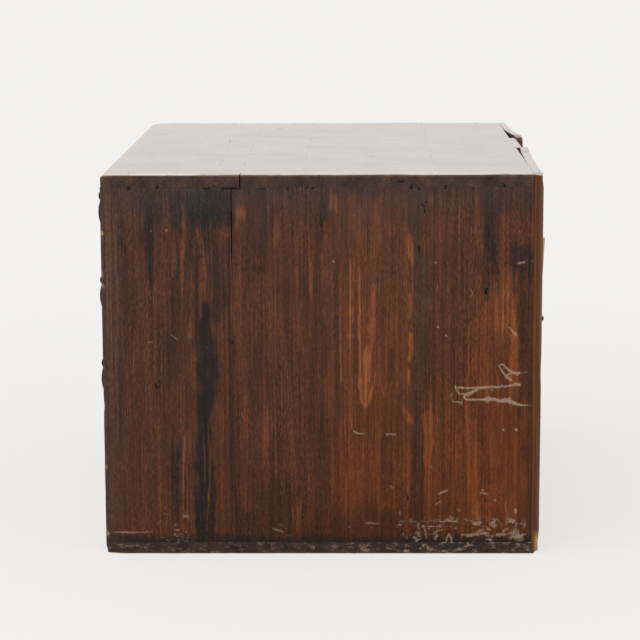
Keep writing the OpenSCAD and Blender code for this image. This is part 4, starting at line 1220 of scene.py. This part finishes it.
back_material = back_wood()
back_board("back_right", "back_board_right", 6.4, 248, 308, 248, 6, 4.4, 71,
           (((248, 175, 7), 6, (-1.2, -1.5, 0), 1.0), ((248, 175, 0), 4, (-1.8, -2.2, 2.0), 0.6),
            ((248, 175, 308), 6, (-1.2, -1.0, -1.2), 0.0), ((6, 172, 308), 9, (2.0, 0, -2.0), 0.0),
            ((60, 172, 308), 14, (0, 0, -1.0), 0.0), ((248, 175, 150), 9, (-0.3, -0.5, 0), 0.0)),
           (247.6, 174.8, 212, 257.5, 1.3), 0.9)
back_board("back_middle", "back_board_middle", -91.6, 5.6, 306.5, 6, -92, 0.0, 73)
back_board("back_left", "back_board_left", -248, -92.4, 308, -248, -92, 8.0, 79,
           (((-92, 172, 308), 8, (-2.5, 0, -2.0), 0.0),))

# Nails in the back
# Hand-forged iron nails with hammered heads, driven through the back boards into the case.
# One in the right-hand edge has worked loose; the others are nearly flush.


def forged_iron():
    material = bpy.data.materials.new("forged_iron")
    material.use_nodes = True
    tree = material.node_tree
    shader = tree.nodes["Principled BSDF"]
    place = put(tree, "ShaderNodeTexCoord").outputs["Object"]
    mm = put(tree, "ShaderNodeVectorMath", {0: place, 1: (1000, 1000, 1000)}, operation="MULTIPLY").outputs[0]
    scale = cloud(tree, mm, (0.30, 0.30, 0.30), 5.0, 0.65)
    colour = colour_ramp(tree, scale, ((0.30, (0.016, 0.015, 0.015)), (0.48, (0.036, 0.031, 0.028)),
                                       (0.60, (0.075, 0.040, 0.024)), (0.74, (0.120, 0.052, 0.024))))
    tree.links.new(colour, shader.inputs["Base Color"])
    tree.links.new(between(tree, scale, 0.35, 0.7, 0.38, 0.72), shader.inputs["Roughness"])
    tree.links.new(between(tree, scale, 0.62, 0.48, 0.15, 0.85), shader.inputs["Metallic"])
    hammered = sums(tree, "MULTIPLY_ADD", cloud(tree, mm, (1.6, 1.6, 1.6), 2.0), 0.35,
                    cloud(tree, mm, (0.45, 0.45, 0.45), 1.0))
    bump = put(tree, "ShaderNodeBump", {"Height": hammered, "Distance": 0.35 * MM, "Strength": 0.6})
    tree.links.new(bump.outputs[0], shader.inputs["Normal"])
    return material


def nail_shape(tree, given):
    """A low hammered head over a square shank; the underside of the head is at the point."""
    head_r = sums(tree, "MULTIPLY", given["Head width"], 0.5)
    crown_r = sums(tree, "MULTIPLY", given["Head width"], 0.2)
    head = put(tree, "GeometryNodeMeshCone",
               {"Vertices": 9, "Radius Top": crown_r, "Radius Bottom": head_r, "Depth": given["Head height"]})
    shank = sunk_rod(tree, 4, given["Shank width"], given["Shank length"])
    joined = tree.nodes.new("GeometryNodeJoinGeometry")
    tree.links.new(head.outputs["Mesh"], joined.inputs[0])
    tree.links.new(shank, joined.inputs[0])
    return joined.outputs[0]


iron = forged_iron()
nail_measures = ("Head width", "Head height", "Shank width", "Shank length")
nail_tree = fastener_tree("forged nails", iron, nail_measures, nail_shape)
nail_sizes = dict(zip(nail_measures, (5.6 * MM, 0.9 * MM, 2.2 * MM, 22 * MM)), Seed=3)
nail_places = []
for low, high in node_islands("back_nails"):
    middle = (low + high) / 2
    loose = middle.x > 0.2 and 0.15 < middle.z < 0.23
    lift = 0.8 * MM if loose else -0.55 * MM
    lift += 0.9 * middle.z / HEIGHT if middle.x > 0.01 else 0.0
    nail_places.append(((middle.x, HALF_DEPTH * MM + lift, middle.z), (0, 1, 0)))
set_fasteners("back_nail_set", "case", "iron", nail_tree, nail_sizes, nail_places, "back_nails")

# Drawers
# Each has a thick stained front, rabbeted at its ends over two bare sides, with a back between them.
# A thin bottom is nailed up into the sides; pegs hold the laps, and hands have dirtied the fronts.


def front_wood():
    timber = Timber("drawer_front_wood", "XZY", 3.2, 0.25)
    colour = timber.stained(timber.grain_tone(Streak=0.6, Line=0.4, Blotch=0.4, Fibre=0.5, Grit=0.3), 0.3)
    streaky = timber.step(timber.cloud((0.01, 0.12, 0.12), 4.0, 0.65), 0.40, 0.66)
    colour = timber.mix(timber.sum("MULTIPLY", streaky, 0.45), colour, (0.235, 0.064, 0.014))
    smoky = timber.step(timber.cloud((0.006, 0.06, 0.06), 3.0, 0.6), 0.52, 0.70)
    colour = timber.mix(timber.sum("MULTIPLY", smoky, 0.6), colour, (0.021, 0.013, 0.0105))
    handled = timber.step(timber.cloud((0.05, 0.06, 0.06), 4.0, 0.6), 0.25, 0.65, 0.35, 0.9)
    handled = timber.sum("MULTIPLY", timber.value("grime"), handled)
    colour = timber.mix(handled, colour, (0.022, 0.0135, 0.010))
    rear = timber.step(timber.at[1], -170.5, -168.5)
    colour = timber.mix(rear, colour, timber.bare())
    return timber.finish(colour, (0.36, 0.56))


def inside_wood(name, grain):
    timber = Timber(name, grain, 3.6, 0.2)
    dirty = timber.step(timber.figure["Blotch"], 0.45, 0.75, 0.0, 0.45)
    colour = timber.mix(dirty, timber.bare(), (0.12, 0.078, 0.048))
    rubbed = timber.sum("MULTIPLY", timber.wear, 0.35)
    return timber.finish(timber.mix(rubbed, colour, (0.10, 0.06, 0.036)), (0.6, 0.8))


def handled_front(sheet):
    """Grime about the pull, and a rubbed line where the bail falls against the wood."""
    low, high = board_box(sheet.verts)
    middle = (low + high) / 2
    pivot = middle.z + 14 * MM
    fall = 32 * MM
    spread_x, spread_z = 48 * MM, 24 * MM
    grime = sheet.verts.layers.float["grime"]
    wear = sheet.verts.layers.float["wear"]
    for vertex in sheet.verts:
        if vertex.co.y < low.y + 2 * MM:
            x = (vertex.co.x - middle.x) / spread_x
            z = (vertex.co.z - middle.z) / spread_z
            vertex[grime] = math.exp(-x * x - z * z)
            if abs(vertex.co.z - pivot + fall) < 5 * MM and abs(x) < 0.5:
                vertex[wear] = 0.9


front_material = front_wood()
side_material = inside_wood("drawer_side_wood", "YZX")
back_of_drawer_wood = inside_wood("drawer_back_wood", "XZY")
drawer_bottom_wood = inside_wood("drawer_bottom_wood", "XYZ")
lap_pegs = fastener_tree("lap pegs", peg_wood("lap_peg_wood", 0.0), ("Width", "Length"), peg_shape)
lap_sizes = {"Width": 3.2 * MM, "Length": 9 * MM, "Seed": 9}
lap_middle = 3.6 * MM
peg_proud = 0.15 * MM
tack_sizes = dict(zip(nail_measures, (4.0 * MM, 0.5 * MM, 1.6 * MM, 14 * MM)), Seed=4)
tack_in = 3.5 * MM
tack_sunk = 0.1 * MM
drawer_names = [name[:-len("_drawer")] for name in frame["bodies"] if name.endswith("_drawer")]
for count, name in enumerate(drawer_names):
    body = name + "_drawer"
    seed = 100 + 10 * count
    worn_boards(body + "_face", body + "_front", [front_material], (0, 2, 1), body, ease=0.9 * MM,
                step=9 * MM, seed=seed, mark=handled_front)
    for part, material, grain in (("sides", side_material, (1, 2, 0)),
                                  ("back", back_of_drawer_wood, (0, 2, 1)),
                                  ("bottom", drawer_bottom_wood, (0, 1, 2))):
        worn_boards(f"{body}_{part}_wood", f"{body}_{part}", [material], grain, body, "bare_wood",
                    ease=0.6 * MM, step=40 * MM, seed=seed + len(part))
    low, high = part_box(body + "_sides")
    floor_low, floor_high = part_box(body + "_bottom")
    pegs = []
    tacks = []
    for x, aim in ((low[0], -1), (high[0], 1)):
        for share in (0.18, 0.5, 0.82):
            z = low[2] + share * (high[2] - low[2])
            for y in (low[1] + lap_middle, high[1] - lap_middle):
                pegs.append(((x + aim * peg_proud, y, z), (aim, 0, 0)))
        for share in (0.08, 0.36, 0.64, 0.92):
            y = floor_low[1] + share * (floor_high[1] - floor_low[1])
            tacks.append(((x - aim * tack_in, y, floor_low[2] + tack_sunk), (0, 0, -1)))
    set_fasteners(body + "_lap_pegs", body, "bare_wood", lap_pegs, lap_sizes, pegs)
    set_fasteners(body + "_bottom_tacks", body, "iron", nail_tree, tack_sizes, tacks)

# Pulls
# Each is a bail forged from one iron rod, thickened at the grip and turned in at its ends to knobs.
# It swings in two cotter eyes that pass through domed roses and the front, and are clinched inside.

BAIL_HALF = 26.3
BAIL_DROP = 34.0
BAIL_CORNER = 10.0
BAIL_ELBOW = 4.0
BAIL_BOW = math.radians(24)
BAIL_END = 39.7
KNOB_MIDDLE = 36.7
ROD = 2.0
UPSET = 0.15
GRIP = 2.7
KNOB = 3.0
ROD_STEPS = 12
ELBOW_STEPS = 8
KNOB_STEP = 0.45
TIP_CUT = 0.02
GRIP_BACK = (BAIL_CORNER - BAIL_ELBOW) * math.sin(BAIL_BOW)


def bail_half_path():
    """Points of half a bail from the middle of the grip to the tip of its knob, with the rod's radius."""
    sine, cosine = math.sin(BAIL_BOW), math.cos(BAIL_BOW)
    grip = BAIL_HALF - BAIL_CORNER
    bow = (BAIL_DROP - (BAIL_CORNER + BAIL_ELBOW) * cosine) / (2 * sine)
    bow_middle = (BAIL_CORNER * cosine - BAIL_DROP - BAIL_ELBOW * cosine) / 2
    path = []
    for i in range(ROD_STEPS + 1):
        x = grip * i / ROD_STEPS
        path.append((Vector((x, GRIP_BACK, -BAIL_DROP)), ROD + (GRIP - ROD) * (1 - (x / grip) ** 2)))
    for i in range(1, ROD_STEPS + 1):
        angle = math.pi / 2 * i / ROD_STEPS
        up = BAIL_CORNER * (1 - math.cos(angle))
        place = Vector((grip + BAIL_CORNER * math.sin(angle), GRIP_BACK - up * sine, up * cosine - BAIL_DROP))
        path.append((place, ROD + UPSET * min(1.0, 2.5 * math.sin(2 * angle))))
    for i in range(1, ROD_STEPS + 1):
        angle = BAIL_BOW * (2 * i / ROD_STEPS - 1)
        y = bow * (cosine - math.cos(angle)) - BAIL_ELBOW * sine
        path.append((Vector((BAIL_HALF, y, bow_middle + bow * math.sin(angle))), ROD))
    for i in range(1, ELBOW_STEPS + 1):
        angle = math.pi / 2 * i / ELBOW_STEPS
        down = BAIL_ELBOW * (1 - math.sin(angle))
        place = Vector((BAIL_HALF + BAIL_ELBOW * (1 - math.cos(angle)), -down * sine, -down * cosine))
        path.append((place, ROD + UPSET * min(1.0, 2.5 * math.sin(2 * angle))))
    x = BAIL_HALF + BAIL_ELBOW
    while x < BAIL_END - TIP_CUT:
        x = min(x + KNOB_STEP, BAIL_END - TIP_CUT)
        bulge = KNOB * KNOB - (x - KNOB_MIDDLE) ** 2
        radius = math.sqrt(bulge) if bulge > 0 else 0.0
        path.append((Vector((x, 0, 0)), radius if x > KNOB_MIDDLE else max(ROD, radius)))
    return path


def forged_bail(pivot, seed):
    """The bail's rod as rings about its path, with the flats that the hammer left."""
    half = bail_half_path()
    path = [(Vector((-place.x, place.y, place.z)), radius) for place, radius in reversed(half[1:])] + half
    sheet = new_sheet()
    rings = []
    corners = 14
    for number, (place, radius) in enumerate(path):
        before = path[max(number - 1, 0)][0]
        after = path[min(number + 1, len(path) - 1)][0]
        run = (after - before).normalized()
        side = run.cross(Vector((0, 1, 0))).normalized()
        other = side.cross(run)
        ring = []
        for corner in range(corners):
            angle = 2 * math.pi * corner / corners
            out = side * math.cos(angle) + other * math.sin(angle)
            hammered = 1.0 + 0.045 * noise.noise((place + out * 3) * 0.35 + Vector((seed, 0, 0)))
            ring.append(sheet.verts.new(pivot + (place + out * radius * min(hammered, 1.03)) * MM))
        rings.append(ring)
    skin_rings(sheet, rings)
    return sheet


for count, name in enumerate(drawer_names):
    low, high = (Vector(corner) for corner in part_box(name + "_bail"))
    pivot = Vector(((low.x + high.x) / 2, high.y - (GRIP_BACK + GRIP) * MM, low.z + (BAIL_DROP + GRIP) * MM))
    bail = forged_bail(pivot, count * 7.3)
    finish_piece(bail, name + "_bail_iron", [iron], name + "_bail", "iron", name + "_bail")
    sheet = node_copy(name + "_cotter_eyes")
    for vertex in sheet.verts:
        vertex.co += vertex.normal * 0.08 * MM * noise.noise(vertex.co * 420 + Vector((count * 2.1, 0, 0)))
    finish_piece(sheet, name + "_eyes_iron", [iron], name + "_drawer", "iron", name + "_cotter_eyes")

# Studio
# A pale paper floor that fades into a white surround, lit from all round and by two softboxes.
# The camera stands well back on the right-hand side, a little above the chest.

FLOOR_SIZE = 30.0
PAPER = (0.90, 0.895, 0.885, 1)
SURROUND = (0.89, 0.882, 0.868, 1)
NEAR_FADE = 0.76

floor_mesh = bpy.data.meshes.new("floor")
floor_sheet = bmesh.new()
bmesh.ops.create_grid(floor_sheet, x_segments=1, y_segments=1, size=FLOOR_SIZE)
floor_sheet.to_mesh(floor_mesh)
floor_sheet.free()
floor = bpy.data.objects.new("floor", floor_mesh)
bpy.context.scene.collection.objects.link(floor)


def seen_directly(tree):
    """1 for a ray that shows the surround itself, 0 for the light that falls on the chest."""
    ray = put(tree, "ShaderNodeLightPath").outputs
    seen = sums(tree, "ADD", ray["Is Camera Ray"], ray["Is Glossy Ray"], clamp=True)
    return sums(tree, "ADD", seen, ray["Is Transmission Ray"], clamp=True)


def floor_paper():
    material = bpy.data.materials.new("floor_paper")
    material.use_nodes = True
    tree = material.node_tree
    tree.nodes.clear()
    place = put(tree, "ShaderNodeTexCoord").outputs["Object"]
    away = put(tree, "ShaderNodeVectorMath", {0: place}, operation="LENGTH").outputs["Value"]
    fade = sums(tree, "MULTIPLY", seen_directly(tree), between(tree, away, 0.25, 1.5, NEAR_FADE, 1.0))
    paper = put(tree, "ShaderNodeBsdfDiffuse", {"Color": PAPER}).outputs[0]
    white = put(tree, "ShaderNodeEmission", {"Color": SURROUND, "Strength": 1.0}).outputs[0]
    mixed = put(tree, "ShaderNodeMixShader", {0: fade, 1: paper, 2: white}).outputs[0]
    put(tree, "ShaderNodeOutputMaterial", {0: mixed})
    return material


floor_mesh.materials.append(floor_paper())

world = bpy.data.worlds.new("studio")
world.use_nodes = True
bpy.context.scene.world = world
sky = world.node_tree
backdrop = sky.nodes["Background"]
strength = put(sky, "ShaderNodeMapRange", {"Value": seen_directly(sky), "To Min": 0.80, "To Max": 1.0})
sky.links.new(strength.outputs[0], backdrop.inputs["Strength"])
backdrop.inputs["Color"].default_value = SURROUND


def softbox(name, place, aim, size, power):
    lamp = bpy.data.lights.new(name, "AREA")
    lamp.energy = power
    lamp.size = size
    made = bpy.data.objects.new(name, lamp)
    made.location = place
    made.rotation_euler = (Vector(aim) - Vector(place)).to_track_quat("-Z", "Y").to_euler()
    bpy.context.scene.collection.objects.link(made)


softbox("overhead_softbox", (0.6, -0.7, 2.2), (0, 0, 0.15), 1.8, 14.0)
softbox("side_softbox", (2.4, -1.2, 1.3), (0.25, 0, 0.15), 1.2, 8.0)

LENS_MM = 135.0
CAMERA_PLACE = (2.1343, 0.0297, 0.5042)
CAMERA_DOWN = 9.404
CAMERA_TURN = -0.934
CAMERA_ROLL = -0.231
camera_lens = bpy.data.cameras.new("camera")
camera_lens.lens = LENS_MM
camera_lens.sensor_width = 36.0
camera = bpy.data.objects.new("camera", camera_lens)
bpy.context.scene.collection.objects.link(camera)
bpy.context.scene.camera = camera
level = Euler((math.pi / 2, 0.0, math.pi / 2)).to_matrix()
turn = Matrix.Rotation(-math.radians(CAMERA_TURN), 3, "Z")
tilt = Matrix.Rotation(-math.radians(CAMERA_DOWN), 3, "X")
roll = Matrix.Rotation(math.radians(CAMERA_ROLL), 3, "Z")
camera.matrix_world = Matrix.Translation(CAMERA_PLACE) @ (turn @ level @ tilt @ roll).to_4x4()

bpy.context.scene.view_settings.view_transform = "Standard"
